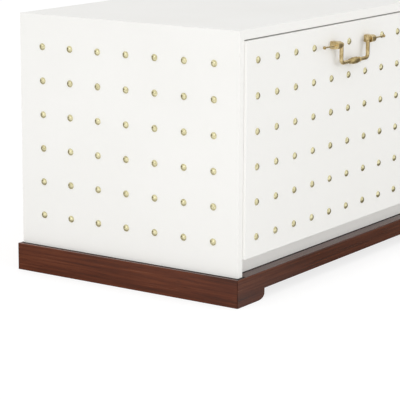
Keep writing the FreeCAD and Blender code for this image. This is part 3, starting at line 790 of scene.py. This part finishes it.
def put(skin: Skin, name: str, finish: Finish, body: str, *nodes: str) -> None:
    """Lays a new piece, dresses it and hangs it on its body in place of plain solids.

    Args:
        skin: The piece's surfaces.
        name: The piece's name.
        finish: Its finish.
        body: The body it moves with.
        nodes: The frame's nodes that it stands for, if any.
    """
    piece = skin.lay(name)
    piece.data.materials.append(finish.material())
    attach(piece, body)
    if nodes:
        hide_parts(*nodes)
    stands_for = ", ".join(nodes) or "itself"
    log.info("%s: %d faces, on %s, for %s", name, len(piece.data.polygons), body, stands_for)


def dress(node: str, finish: Finish) -> None:
    """Gives a node of the frame a finish in place of its plain one.

    Args:
        node: The node's name.
        finish: The finish.
    """
    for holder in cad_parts[node].material_slots:
        holder.material = finish.material()
    log.info("%s: keeps its solid, finish %s", node, finish.name)


@dataclass(frozen=True)
class Case:
    """The lacquered case: shell of top and sides, rails behind the fronts, hidden panels."""

    arris: float = 0.9 * MM  # the shell's front outer arrises
    top_arris: float = 0.6 * MM  # along the mitres of top and sides
    inner_share: float = 0.35  # share of the front arris on the shell's inner side
    foot_arris: float = 0.5 * MM
    back_arris: float = 0.8 * MM
    rail_arris: float = 0.5 * MM

    def arch(self, outer: Box, left: float, right: float, ceiling: float) -> Array:
        """The shell's outline seen from the front: up and over, open below.

        Args:
            outer: Box of the shell.
            left: Left side of the room inside it.
            right: Right side of that room.
            ceiling: Top of that room.

        Returns:
            Eight corners, counter-clockwise.
        """
        (start, _, floor), (end, _, top) = outer.low, outer.high
        return np.array([
            (start, floor), (left, floor), (left, ceiling), (right, ceiling),
            (right, floor), (end, floor), (end, top), (start, top),
        ])

    def build_shell(self) -> None:
        """Top board and both sides under one coat, with the rebate for the back panel."""
        nodes = ("top_board", "left_side_panel", "right_side_panel")
        top, left, right = map(Box.of, nodes)
        outer, panel = Box.of(*nodes), Box.of("back_panel")
        front, rebate, back = outer.low[1], panel.low[1], outer.high[1]
        room = self.arch(outer, left.high[0], right.low[0], top.low[2])
        rebated = self.arch(outer, panel.low[0], panel.high[0], panel.high[2])
        foot, rail, upper = self.foot_arris, self.rail_arris, self.top_arris
        radii = (foot, rail, 0, 0, rail, foot, upper, upper)
        weights = (self.inner_share,) * 5 + (1, 1, 1)
        fore = Board(Axis.Y, room, front, rebate, radii, (self.arris, 0), weights)
        aft = Board(Axis.Y, rebated, rebate, back, radii, (0, self.back_arris), weights)
        skin = Skin().add(np.concatenate([fore.rings(), aft.rings()]))
        put(skin, "lacquered_shell", WHITE_LACQUER, "case", *nodes)

    def build(self) -> None:
        """Builds the shell and both rails, and dresses the panels inside and behind."""
        self.build_shell()
        for node in ("front_rail", "top_rail"):
            board = Board.block(Box.of(node), Axis.X, self.rail_arris)
            put(Skin().add(board.rings()), f"{node}_board", WHITE_LACQUER, "case", node)
        for node, name, thickness, grain in (
            ("back_panel", "birch_back", Axis.Y, Axis.X),
            ("bottom_board", "birch_floor", Axis.Z, Axis.X),
            ("centre_partition", "birch_partition", Axis.X, Axis.Z),
        ):
            dress(node, Plywood(name, Slot.PLYWOOD, thickness, grain))
        dress("plinth_corner_blocks", PINE.laid("pine_along_z", Axis.Z))
        dress("plinth_centre_bearer", PINE.laid("pine_along_y", Axis.Y))


@dataclass(frozen=True)
class Plinth:
    """The walnut plinth: four boards with lipped mitres, the front one cut away to two feet."""

    arris: float = 0.3 * MM
    brow: float = 3.0 * MM  # the front board's upper outer arris
    side_brow: float = 1.2 * MM
    lip: float = 1.0 * MM  # square lip of the front and back boards at each mitre
    joint: float = 0.5 * MM  # joint line at the mitres
    apron_rise: float = 19.5 * MM  # floor to the front board's underside between the feet
    foot_length: float = 88.0 * MM
    curve_length: float = 25.0 * MM  # the curve under each foot's inner end
    curve_rise: float = 12.0 * MM
    curve_power: float = 2.4  # its fullness; two gives an ellipse
    curve_steps: int = 12
    front_tone: float = 0.74  # painted shade: factor that darkens the front board's walnut colours, for the lower light on that face
    strip_reach: float = 3.8 * MM  # painted shadow: how far the black strip round the case's foot reaches out, standing for the shade under the case
    strip_height: float = 0.35 * MM

    def foot(self, end: float) -> Array:
        """The underside of the left foot, from the floor to the apron.

        The curve leaves the floor level and ends upright: as the angle grows from zero to a right
        angle, it runs its length times the sine, and rises its rise times one less the cosine,
        both raised to two over the power.

        Args:
            end: Where the plinth ends on the left.

        Returns:
            Points from left to right.
        """
        angle = np.linspace(0, RIGHT_ANGLE, self.curve_steps)
        start = end + self.foot_length - self.curve_length
        run = np.sin(angle) ** (2 / self.curve_power)
        rise = 1 - np.maximum(np.cos(angle), 0) ** (2 / self.curve_power)
        curve = np.stack([start + self.curve_length * run, self.curve_rise * rise], axis=1)
        return np.vstack([curve, (end + self.foot_length, self.apron_rise)])

    def mitre(self, half: float, face: float, inwards: int) -> Callable[[Array], Array]:
        """Cuts both ends of a board along its mitres.

        Args:
            half: Half the board's length.
            face: Where the board's outer face lies along Y.
            inwards: The sign of Y from the outer face to the inner one.

        Returns:
            A function that keeps every point's X within half, less its depth beyond the lip.
        """
        def cut(points: Array) -> Array:
            """Keeps the points within the mitres.

            Args:
                points: The board's points.

            Returns:
                The same points, moved.
            """
            depth = (points[..., 1] - face) * inwards
            reach = half - np.maximum(depth - self.lip, 0)
            points[..., 0] = np.clip(points[..., 0], -reach, reach)
            return points
        return cut

    def build_front(self) -> None:
        """The front board with its feet; only its top face draws in by the whole brow."""
        node = "plinth_front_board"
        box = Box.of(node)
        face = box.low[1]
        foot = self.foot(box.low[0])
        ends = np.roll(box.corners(Axis.Y), -1, axis=0)
        outline = np.vstack([foot, (foot * (-1, 1))[::-1], ends])
        radii = np.zeros(len(outline))
        radii[-4:] = self.arris
        weights = np.full(len(outline), self.arris / self.brow)
        weights[-3] = 1.0
        board = Board(
            Axis.Y, outline, face, box.high[1], radii, (self.brow, self.arris), weights,
            breaks=(face + self.brow + self.lip,), trim=self.mitre(box.high[0], face, 1),
        )
        # painted shade: the front board gets a darker copy of the walnut, for the shade on that face
        finish = WALNUT.laid("walnut_front", Axis.X, self.front_tone)
        put(Skin().add(board.rings()), "walnut_front", finish, "case", node)

    def build_back(self) -> None:
        """The back board."""
        node = "plinth_back_board"
        box = Box.of(node)
        face = box.high[1]
        board = replace(
            Board.block(box, Axis.Y, self.arris),
            breaks=(face - self.lip,), trim=self.mitre(box.high[0], face, -1),
        )
        finish = WALNUT.laid("walnut_back", Axis.X)
        put(Skin().add(board.rings()), "walnut_back", finish, "case", node)

    def build_side(self, hand: Hand) -> None:
        """Builds one side board, a joint's width short of the mitres.

        Args:
            hand: Which side.
        """
        node = f"plinth_{hand.word}_board"
        box = Box.of(node)
        outer, inner = (box.low[0], box.high[0])[::-hand.value]
        front, back = box.low[1] + self.joint, box.high[1] - self.joint
        mitre = box.size[0] - self.lip
        outline = np.array([
            (outer, front), (inner, front + mitre), (inner, back - mitre), (outer, back)
        ])[::-hand.value]
        board = Board(
            Axis.Z, outline, box.low[2], box.high[2], self.arris / 2,
            (self.arris, self.side_brow), weights=(0.0, 1.0, 0.0, 1.0),
        )
        finish = WALNUT.laid("walnut_side", Axis.Y)
        put(Skin().add(board.rings()), f"walnut_{hand.word}", finish, "case", node)

    def build_strip(self) -> None:
        """The thin black strip on the plinth along the case's foot, at both sides and in front:
        painted shadow for the dark line under the case.
        """
        left, right = Box.of("left_side_panel"), Box.of("right_side_panel")
        recess = Box.of("front_rail").low[1]
        foot = np.array([
            (left.low[0], left.high[1]), (left.low[0], left.low[1]), (left.high[0], left.low[1]),
            (left.high[0], recess), (right.low[0], recess), (right.low[0], right.low[1]),
            (right.high[0], right.low[1]), (right.high[0], right.high[1]),
        ])
        out = np.array([
            (-1, 0), (-1, -1), (1, -1), (1, -1), (-1, -1), (-1, -1), (1, -1), (1, 0)
        ])
        outline = np.vstack([foot + self.strip_reach * out, (foot - self.arris * out)[::-1]])
        base = left.low[2]
        strip = Board(Axis.Z, outline, base, base + self.strip_height)
        put(Skin().add(strip.rings()), "shadow_strip", PAINTED_SHADOW_BLACK, "case")

    def build(self) -> None:
        """Builds all four boards and the black strip of painted shadow on them."""
        self.build_front()
        self.build_back()
        for hand in Hand:
            self.build_side(hand)
        self.build_strip()


@dataclass(frozen=True)
class Nails:
    """Brass nails with low domed heads, standing on one face."""

    facing: Array
    rise: float = 4.0 * MM
    wider: float = 0.3 * MM  # by how much the head's radius exceeds the plain solid's
    sides: int = 16
    rim: float = 0.5 * MM
    sunk: float = 0.1 * MM  # how far the rim sits in the lacquer
    circles: tuple[float, ...] = (1.0, 0.84, 0.62, 0.34, 0.0)  # shares of the head's radius

    def head(self, radius: float) -> Array:
        """Profile of a head: a short upright rim under a dome cut from a ball.

        The ball's radius is half the sum of the dome's rise and the square of the head's radius
        over that rise. The dome's height is the root of the ball's radius squared less the
        distance squared, less what the ball's middle lies below the face.

        Args:
            radius: The head's radius.

        Returns:
            Rows of radius and height.
        """
        crown = self.rise - self.rim
        ball = (radius**2 + crown**2) / (2 * crown)
        away = radius * np.array(self.circles)
        dome = self.rise - ball + np.sqrt(ball**2 - away**2)
        return np.vstack([(radius, -self.sunk), np.stack([away, dome], axis=1)])

    def build(self, node: str, seat: str, name: str, body: str) -> None:
        """Sets a head on each nail of a node.

        Args:
            node: The node that holds the nails.
            seat: The node whose face the heads stand on.
            name: The new piece's name.
            body: The body it moves with.
        """
        axis = int(np.argmax(np.abs(self.facing)))
        nails = [Box.round(points) for points in solids_of(node)]
        radius = np.delete(nails[0].size, axis).max() / 2
        places = np.array([nail.middle for nail in nails])
        board = Box.of(seat)
        places[:, axis] = (board.high if self.facing[axis] > 0 else board.low)[axis]
        rings = turned(self.head(radius + self.wider), np.zeros(3), self.facing, self.sides)
        put(Skin().add(rings, places), name, NAIL_BRASS, body, node)


@dataclass(frozen=True)
class Screws:
    """Countersunk screws: a flat head with a cross recess, a cone, a shank with a point."""

    arm_reach: float = 0.62  # of the recess, as a share of the head's radius
    arm_half: float = 0.15  # half an arm's width, the same
    depth: float = 1.4 * MM
    floor: float = 0.5  # the recess's width at its bottom, as a share of that at its top
    point: float = 3.0 * MM
    tip: float = 0.2  # radius of the point's end, as a share of the shank's
    rim: float = 0.3 * MM
    shank_within: float = 0.75  # share of the head's radius within which a point is the shank's
    rim_beyond: float = 0.9  # the same, beyond which a point is the head's rim

    @property
    def angles(self) -> Array:
        """Directions round the axis: the corners of a cross with four arms, and some between.

        Returns:
            One angle for each direction.
        """
        corner = math.atan2(self.arm_half, self.arm_reach)
        arm = np.array([-corner, 0.0, corner, math.pi / 8, math.pi / 4, 3 * math.pi / 8])
        return np.concatenate([arm + turn * RIGHT_ANGLE for turn in range(4)])

    def cross(self, radius: float) -> Array:
        """Distance from the middle to the edge of the cross in each direction.

        The cross is two bars. A bar's edge lies where its half length over the cosine, or its half
        width over the sine, of the direction comes first; the longer of the two bars counts.

        Args:
            radius: The head's radius.

        Returns:
            One distance for each direction.
        """
        tiny = 1e-9
        along = np.abs(np.cos(self.angles)) + tiny
        across = np.abs(np.sin(self.angles)) + tiny
        level = np.minimum(self.arm_reach / along, self.arm_half / across)
        upright = np.minimum(self.arm_half / along, self.arm_reach / across)
        return radius * np.maximum(level, upright)

    def rings(self, points: Array) -> Array:
        """The outlines of one screw, from its point to the bottom of its recess.

        Args:
            points: The points of the plain solid that it stands for.

        Returns:
            Outlines by points by three.
        """
        box = Box.round(points)
        axis = int(np.argmax(box.size))
        away = np.linalg.norm(np.delete(points - box.middle, axis, axis=1), axis=1)
        radius, length = away.max(), box.size[axis]
        shank = away[away < self.shank_within * radius].max()
        wide = points[away > self.rim_beyond * radius, axis].mean()
        facing = np.zeros(3)
        facing[axis] = 1.0 if wide > box.middle[axis] else -1.0
        helper = np.roll(np.abs(facing), 1)
        side = np.cross(facing, helper)
        spoke = np.cos(self.angles)[:, None] * helper + np.sin(self.angles)[:, None] * side
        reach, height = zip(
            (self.tip * shank, -length),
            (shank, self.point - length),
            (shank, shank - radius - self.rim),
            (radius, -self.rim),
            (radius, 0.0),
            (self.cross(radius), 0.0),
            (self.floor * self.cross(radius), -self.depth),
        )
        reach = np.array([np.broadcast_to(row, len(spoke)) for row in reach])
        top = box.middle + facing * length / 2
        return top + reach[:, :, None] * spoke + np.array(height)[:, None, None] * facing

    def build(self, node: str, body: str) -> None:
        """Sets a screw in place of each solid of a node.

        Args:
            node: The node that holds the screws.
            body: The body they move with.
        """
        skin = Skin()
        for points in solids_of(node):
            skin.add(self.rings(points))
        put(skin, f"{node}_cut", SCREW_ZINC, body, node)


@dataclass(frozen=True)
class Pull:
    """A swinging bail on two posts, with a swelled grip and ball finials."""

    hand: Hand
    post_arris: float = 0.8 * MM
    post_steps: int = 9
    pin_radius: float = 2.0 * MM
    knuckle: float = 4.5 * MM  # radius of the ball between pin and upright
    knuckle_steps: int = 12
    upright_gap: float = 6.3 * MM  # post's inner face to the upright's middle
    upright_steps: int = 8
    top_radius: float = 3.8 * MM  # of the uprights at the top
    low_radius: float = 3.6 * MM  # of the rod from the corners down
    drop: float = 34.9 * MM  # pivot to the lower bar
    bend: float = 7.0 * MM
    bend_steps: int = 10
    bar_steps: int = 180
    grip_length: float = 39.0 * MM
    grip_radius: float = 6.6 * MM
    grip_core: float = 0.9  # its least radius, as a share of the rod's
    grip_steps: int = 29
    bead_radius: float = 5.0 * MM  # of the bead at each end of the grip
    bead_width: float = 3.4 * MM
    bead_steps: int = 9
    stem_radius: float = 1.4 * MM  # of the finials
    collar: float = 0.2 * MM  # length of the cone between stem and ball
    ball_radius: float = 3.2 * MM
    ball_steps: int = 14
    sides: int = 28

    def node(self, part: str) -> str:
        """The name of one of this pull's nodes or pieces."""
        return f"{self.hand.word}_{part}"

    @property
    def pivot(self) -> Array:
        """The middle of the bail's axis: half way between the posts, amid their noses.

        Returns:
            The point.
        """
        left, right = (Box.of(self.node(f"handle_{end.word}_post")) for end in Hand)
        middle = (left.middle + right.middle) / 2
        middle[1] = left.low[1] + left.size[2] / 2
        return middle

    def add_both(self, skin: Skin, profile: Array) -> Skin:
        """Turns a profile on the bail's axis towards the left and towards the right.

        Args:
            skin: The skin that takes both surfaces.
            profile: Rows of radius and place, from the pivot outwards.

        Returns:
            The skin.
        """
        for end in Hand:
            skin.add(turned(profile, self.pivot, end.way, self.sides))
        return skin

    def build_posts(self) -> None:
        """Both posts: a block with a round nose."""
        for end in Hand:
            node = self.node(f"handle_{end.word}_post")
            box = Box.of(node)
            nose = box.size[2] / 2
            block = Board.block(box, Axis.X, self.post_arris)
            post = replace(block, radii=(nose, 0, 0, nose), steps=self.post_steps)
            name = self.node(f"pull_{end.word}_post")
            put(Skin().add(post.rings()), name, POLISHED_BRASS, self.node("drawer"), node)

    def pin_profile(self, inner: float, outer: float) -> Array:
        """Profile of one pivot pin with its knuckle.

        The knuckle is a ball: its radius at a distance from its middle is the root of the ball's
        radius squared less the distance squared.

        Args:
            inner: Place of the knuckle's middle.
            outer: Place of the pin's outer end.

        Returns:
            Rows of radius and place, from the inside outwards.
        """
        cross = math.sqrt(self.knuckle**2 - self.pin_radius**2)
        last = math.pi - math.acos(cross / self.knuckle)
        place = self.knuckle * -np.cos(np.linspace(0, last, self.knuckle_steps))
        radius = np.sqrt(np.maximum(self.knuckle**2 - place**2, 0))
        return np.vstack([np.stack([radius, inner + place], axis=1), (self.pin_radius, outer)])

    def route(self, half: float) -> tuple[Array, Array]:
        """The bail's path from one pivot down, along the bar and up to the other.

        The uprights and the bar are straight and the corners are quarter circles. The first
        upright and corner, mirrored, are the second ones.

        Args:
            half: Half the distance between the uprights.

        Returns:
            The points and the unit tangents, relative to the pivot.
        """
        fall = np.linspace(0, self.bend - self.drop, self.upright_steps)[:-1]
        down = np.stack([np.full(len(fall), -half), fall], axis=1)
        down_way = np.tile((0.0, -1.0), (len(fall), 1))
        angle = np.linspace(0, RIGHT_ANGLE, self.bend_steps)
        across, below = self.bend * (1 - np.cos(angle)), self.bend * (1 - np.sin(angle))
        bend = np.stack([across - half, below - self.drop], axis=1)
        bend_way = np.stack([np.sin(angle), -np.cos(angle)], axis=1)
        run = np.linspace(self.bend - half, half - self.bend, self.bar_steps)[1:-1]
        bar = np.stack([run, np.full(len(run), -self.drop)], axis=1)
        bar_way = np.tile((1.0, 0.0), (len(run), 1))
        first, first_way = np.vstack([down, bend]), np.vstack([down_way, bend_way])
        flat = np.vstack([first, bar, (first * (-1, 1))[::-1]])
        way = np.vstack([first_way, bar_way, (first_way * (1, -1))[::-1]])
        return np.insert(flat, 1, 0.0, axis=1), np.insert(way, 1, 0.0, axis=1)

    def thickness(self, path: Array) -> Array:
        """The rod's radius along its path: the uprights taper evenly from top to corner."""
        height = np.clip((path[:, 2] + self.drop - self.bend) / (self.drop - self.bend), 0, 1)
        return self.low_radius + (self.top_radius - self.low_radius) * height

    def grip_profile(self) -> Array:
        """Profile of the grip: a swelling between two beads.

        The swelling's radius is its greatest one times the root of one less the cube of the share
        of its half length. A bead is a half circle, stretched to its radius.

        Returns:
            Rows of radius and place along the grip, from end to end.
        """
        half = self.bead_width / 2
        swell = self.grip_length / 2 - self.bead_width
        place = np.sin(np.linspace(-RIGHT_ANGLE, RIGHT_ANGLE, self.grip_steps)) * swell
        radius = self.grip_radius * np.sqrt(1 - np.abs(place / swell) ** 3)
        around = np.linspace(0, math.pi, self.bead_steps)
        bead = np.stack([self.bead_radius * np.sin(around), half * -np.cos(around)], axis=1)
        shift = np.array((0, swell + half))
        rows = np.vstack([bead - shift, np.stack([radius, place], axis=1), bead + shift])
        core = self.grip_core * self.low_radius
        return np.stack([np.maximum(rows[:, 0], core), rows[:, 1]], axis=1)

    def build_bail(self) -> None:
        """The bail: bent rod with knuckles and pins, and the grip on its lower bar."""
        node = self.node("bail")
        pivot = self.pivot
        half = Box.of(self.node("handle_right_post")).low[0] - pivot[0] - self.upright_gap
        path, tangent = self.route(half)
        rod = Skin().add(bent_rod(pivot + path, tangent, self.thickness(path), self.sides))
        pin = self.pin_profile(half, Box.of(node).high[0] - pivot[0])
        put(self.add_both(rod, pin), self.node("pull_bail"), POLISHED_BRASS, node, node)
        bar = pivot - (0.0, 0.0, self.drop)
        grip = Skin().add(turned(self.grip_profile(), bar, Hand.RIGHT.way, self.sides))
        put(grip, self.node("pull_grip"), DARKER_GRIP_BRASS, node)

    def build_finials(self) -> None:
        """Stem, short cone and ball beyond each post."""
        node, bail = self.node("bail_finials"), self.node("bail")
        middle = self.pivot[0]
        centre = Box.of(node).high[0] - middle - self.ball_radius
        root = Box.of(bail).high[0] - middle
        cross = math.sqrt(self.ball_radius**2 - self.stem_radius**2)
        first = math.pi - math.asin(self.stem_radius / self.ball_radius)
        angle = np.linspace(first, 0, self.ball_steps)
        ball = self.ball_radius * np.stack([np.sin(angle), np.cos(angle)], axis=1) + (0, centre)
        end = centre - cross - self.collar
        profile = np.vstack([(self.stem_radius, root), (self.stem_radius, end), ball])
        finials = self.add_both(Skin(), profile)
        put(finials, self.node("pull_finials"), POLISHED_BRASS, bail, node)

    def build(self) -> None:
        """Builds posts, bail and finials."""
        self.build_posts()
        self.build_bail()
        self.build_finials()


@dataclass(frozen=True)
class Drawer:
    """One drawer: lacquered front, maple box, plywood bottom."""

    hand: Hand
    reach: float = 1.3 * MM  # how much further the front runs than its plain solid
    face_arris: float = 0.8 * MM
    rear_arris: float = 0.6 * MM  # the front's rear edges and its four corners
    box_arris: float = 1.0 * MM
    end_arris: float = 0.2 * MM  # the ends of the box's boards

    @property
    def body(self) -> str:
        """The body that the drawer is."""
        return f"{self.hand.word}_drawer"

    def build_front(self) -> None:
        """The drawer front, a little longer towards the case's side."""
        node = f"{self.body}_front"
        plain = Box.of(node)
        step = self.reach * self.hand.way
        box = Box(plain.low + np.minimum(step, 0), plain.high + np.maximum(step, 0))
        edges = (self.face_arris, self.rear_arris)
        board = Board.block(box, Axis.Y, self.rear_arris, edges)
        name = f"{self.hand.word}_lacquered_front"
        put(Skin().add(board.rings()), name, WHITE_LACQUER, self.body, node)

    def build_box(self) -> None:
        """The box's four boards and its bottom."""
        for part in ("box_front", "left_side", "right_side", "box_back"):
            grain = Axis.Y if part.endswith("side") else Axis.X
            node = f"{self.body}_{part}"
            edges = (self.end_arris, self.end_arris)
            board = Board.block(Box.of(node), grain, self.box_arris, edges)
            finish = MAPLE.laid(f"maple_along_{grain.name.lower()}", grain)
            name = f"{self.hand.word}_maple_{part}"
            put(Skin().add(board.rings()), name, finish, self.body, node)
        bottom = Plywood("birch_drawer_bottom", Slot.PLYWOOD, Axis.Z, Axis.X)
        dress(f"{self.body}_bottom", bottom)

    def build(self) -> None:
        """Builds front, box, nails and pull, and finishes the screws."""
        self.build_front()
        self.build_box()
        nails = Nails(np.array([0.0, -1.0, 0.0]))
        front_nails = f"{self.hand.word}_front_nails"
        nails.build(f"{self.body}_nails", f"{self.body}_front", front_nails, self.body)
        Pull(self.hand).build()
        for group in ("front", "runner"):
            Screws().build(f"{self.body}_{group}_screws", self.body)
        dress(f"{self.hand.word}_handle_screws", SCREW_ZINC)


def facing(place: Point, target: Point) -> Matrix:
    """The placing of a lamp or camera that stands at a place and faces a target."""
    turn = (Vector(target) - Vector(place)).to_track_quat("-Z", "Y").to_matrix().to_4x4()
    return Matrix.Translation(place) @ turn


@dataclass(frozen=True)
class Lamp:
    """A square soft lamp that shines at the chest and that metal doesn't mirror."""

    name: str
    place: Point
    side: float
    power: float  # in watts
    target: Point = (0.0, 0.0, 0.25)

    def build(self) -> None:
        """Makes the lamp."""
        data = bpy.data.lights.new(self.name, "AREA")
        data.size, data.energy = self.side, self.power
        lamp = bpy.data.objects.new(self.name, data)
        bpy.context.scene.collection.objects.link(lamp)
        lamp.matrix_world = facing(self.place, self.target)
        lamp.visible_glossy = False


@dataclass(frozen=True)
class Studio:
    """Pale floor, soft light and the camera; a dim side and bright panels show in mirrors only."""

    eye: Point = (-3.3395, -1.9301, 0.8630)
    aim: Point = (-0.7515, -0.1721, 0.1908)
    roll: float = 0.247  # in degrees, to the left
    lens: float = 164.96  # in millimetres, as the sensor's width
    sensor: float = 36.0
    far: float = 100.0
    floor_reach: float = 14.0  # half the floor's side
    floor_light: float = 0.78  # share of the light that it throws back on to the chest
    floor_matt: float = 0.30  # the same where it is seen, for its shadow
    floor_glow: float = 0.76  # its own brightness where it is seen
    ambient: float = 0.90  # strength of the surroundings as light
    dim_way: Point = (0.72, 0.69, 0.0)  # towards the middle of the dim side
    dim_width: Pair = (-0.35, 0.30)  # cosines from it at which the dimming begins and is full
    dim_gap: Pair = (0.84, 0.96)  # nearer to it, where it is still full and has ended
    dim_height: Pair = (0.26, 0.45)  # sines of the elevation, the same
    floor_way: Point = (0.86, 0.51, 0.0)  # direction in which the floor dims
    dim_floor: Pair = (-0.94, -0.44)  # how far along it the dimming begins and is full
    dim_colour: Colour = (0.17, 0.16, 0.14)
    panels: tuple[tuple[Point, Colour], ...] = (  # direction and colour
        ((-0.89, -0.17, 0.42), (1.6, 1.6, 1.5)),
        ((0.10, -0.93, 0.34), (1.2, 1.2, 1.15)),
    )
    panel_edge: Pair = (0.93, 0.98)  # cosines at which a panel begins and is full
    lamps: tuple[Lamp, ...] = (
        Lamp("key", (-4.6, -1.0, 0.9), 3.0, 54.0),
        Lamp("fill", (0.6, -4.6, 0.35), 3.8, 68.0),
    )

    def build_camera(self) -> None:
        """A camera at the eye that looks at the aim, rolled a little."""
        data = bpy.data.cameras.new("camera")
        data.lens, data.sensor_width, data.clip_end = self.lens, self.sensor, self.far
        camera = bpy.data.objects.new("camera", data)
        bpy.context.scene.collection.objects.link(camera)
        roll = Matrix.Rotation(math.radians(self.roll), 4, "Z")
        camera.matrix_world = facing(self.eye, self.aim) @ roll
        bpy.context.scene.camera = camera

    def build_floor(self) -> None:
        """A wide floor that looks white and keeps the object's shadow."""
        mesh = bpy.data.meshes.new("floor")
        corners = self.floor_reach * np.array([(-1, -1, 0), (1, -1, 0), (1, 1, 0), (-1, 1, 0)])
        mesh.from_pydata(corners, [], [(0, 1, 2, 3)])
        floor = bpy.data.objects.new("floor", mesh)
        bpy.context.scene.collection.objects.link(floor)
        material = bpy.data.materials.new("floor_white")
        material.use_nodes = True
        wires = Wires(material.node_tree)
        dimmed = self.dimming(wires, wires.place, self.floor_way, self.dim_floor)
        matt = wires.blend(dimmed, (self.floor_matt,) * 3, self.dim_colour)
        glow = wires.blend(dimmed, WHITE, self.dim_colour)
        lifted = wires.feed(
            wires.add("AddShader"),
            wires.feed(wires.add("BsdfDiffuse"), Color=matt).outputs[0],
            wires.feed(wires.add("Emission"), Color=glow, Strength=self.floor_glow).outputs[0],
        )
        plain = wires.feed(wires.add("BsdfDiffuse"), Color=(self.floor_light,) * 3)
        self.show(wires, "OutputMaterial", plain, lifted)
        mesh.materials.append(material)

    def show(self, wires: Wires, output: str, as_light: Node, as_seen: Node) -> None:
        """Gives an output one shader as light on matt surfaces and another where it is seen.

        Args:
            wires: The node tree.
            output: The output's kind.
            as_light: The shader for rays that light a matt surface.
            as_seen: The shader for rays from the camera, a mirror or glass.
        """
        rays = wires.add("LightPath").outputs
        mirrored = wires.work_out("ADD", rays["Is Glossy Ray"], rays["Is Transmission Ray"])
        seen = wires.add("Math", operation="ADD", use_clamp=True)
        wires.feed(seen, rays["Is Camera Ray"], mirrored)
        choice = wires.add("MixShader")
        wires.feed(choice, seen.outputs[0], as_light.outputs[0], as_seen.outputs[0])
        wires.feed(wires.add(output), Surface=choice.outputs[0])

    def dimming(self, wires: Wires, way: Socket, target: Point, reach: Pair) -> Socket:
        """How strongly the dim side shows: for mirrored rays only, growing along a direction.

        Args:
            wires: The node tree.
            way: The ray's direction or the point on the floor.
            target: The direction along which the dimming grows.
            reach: How far along it the dimming begins and is full.

        Returns:
            Zero for no dimming, one for full dimming.
        """
        behind = wires.span(wires.towards(way, target), reach)
        return wires.work_out("MULTIPLY", behind, wires.add("LightPath").outputs["Is Glossy Ray"])

    def build_world(self) -> None:
        """Pale surroundings: white where seen, with a dim low side for metal to mirror."""
        world = bpy.data.worlds.new("studio")
        bpy.context.scene.world = world
        world.use_nodes = True
        wires = Wires(world.node_tree)
        way = wires.add("TexCoord").outputs["Generated"]
        height = wires.feed(wires.add("SeparateXYZ"), way).outputs["Z"]
        low = wires.span(height, self.dim_height, FALLING)
        ahead = wires.span(wires.towards(way, self.dim_way), self.dim_gap, FALLING)
        side = self.dimming(wires, way, self.dim_way, self.dim_width)
        share = wires.work_out("MULTIPLY", wires.work_out("MULTIPLY", low, ahead), side)
        tint = wires.blend(share, WHITE, self.dim_colour)
        for panel, colour in self.panels:
            shown = wires.span(wires.towards(way, panel), self.panel_edge)
            tint = wires.blend(shown, tint, colour)
        light = wires.feed(wires.add("Background"), Color=WHITE, Strength=self.ambient)
        white = wires.feed(wires.add("Background"), Color=tint, Strength=1.0)
        self.show(wires, "OutputWorld", light, white)

    def build(self) -> None:
        """Builds the floor, the surroundings, the lamps and the camera."""
        self.build_floor()
        self.build_world()
        for lamp in self.lamps:
            lamp.build()
        self.build_camera()
        bpy.context.scene.view_settings.view_transform = "Standard"


def main() -> None:
    """Builds every sub-assembly in order, then the studio."""
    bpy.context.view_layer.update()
    Case().build()
    Plinth().build()
    for hand in Hand:
        word = hand.word
        nails = Nails(hand.way)
        nails.build(f"{word}_side_nails", f"{word}_side_panel", f"{word}_panel_nails", "case")
        Drawer(hand).build()
        for side in Hand:
            for rank in ("case", "middle", "drawer"):
                dress(f"{word}_bay_{side.word}_{rank}_runner", RUNNER_ZINC)
    for node in ("back_panel_screws", "plinth_screws", "case_runner_screws"):
        Screws().build(node, "case")
    Studio().build()


if __name__ == "__main__":
    logging.basicConfig(level=logging.INFO, format="%(message)s")
    main()
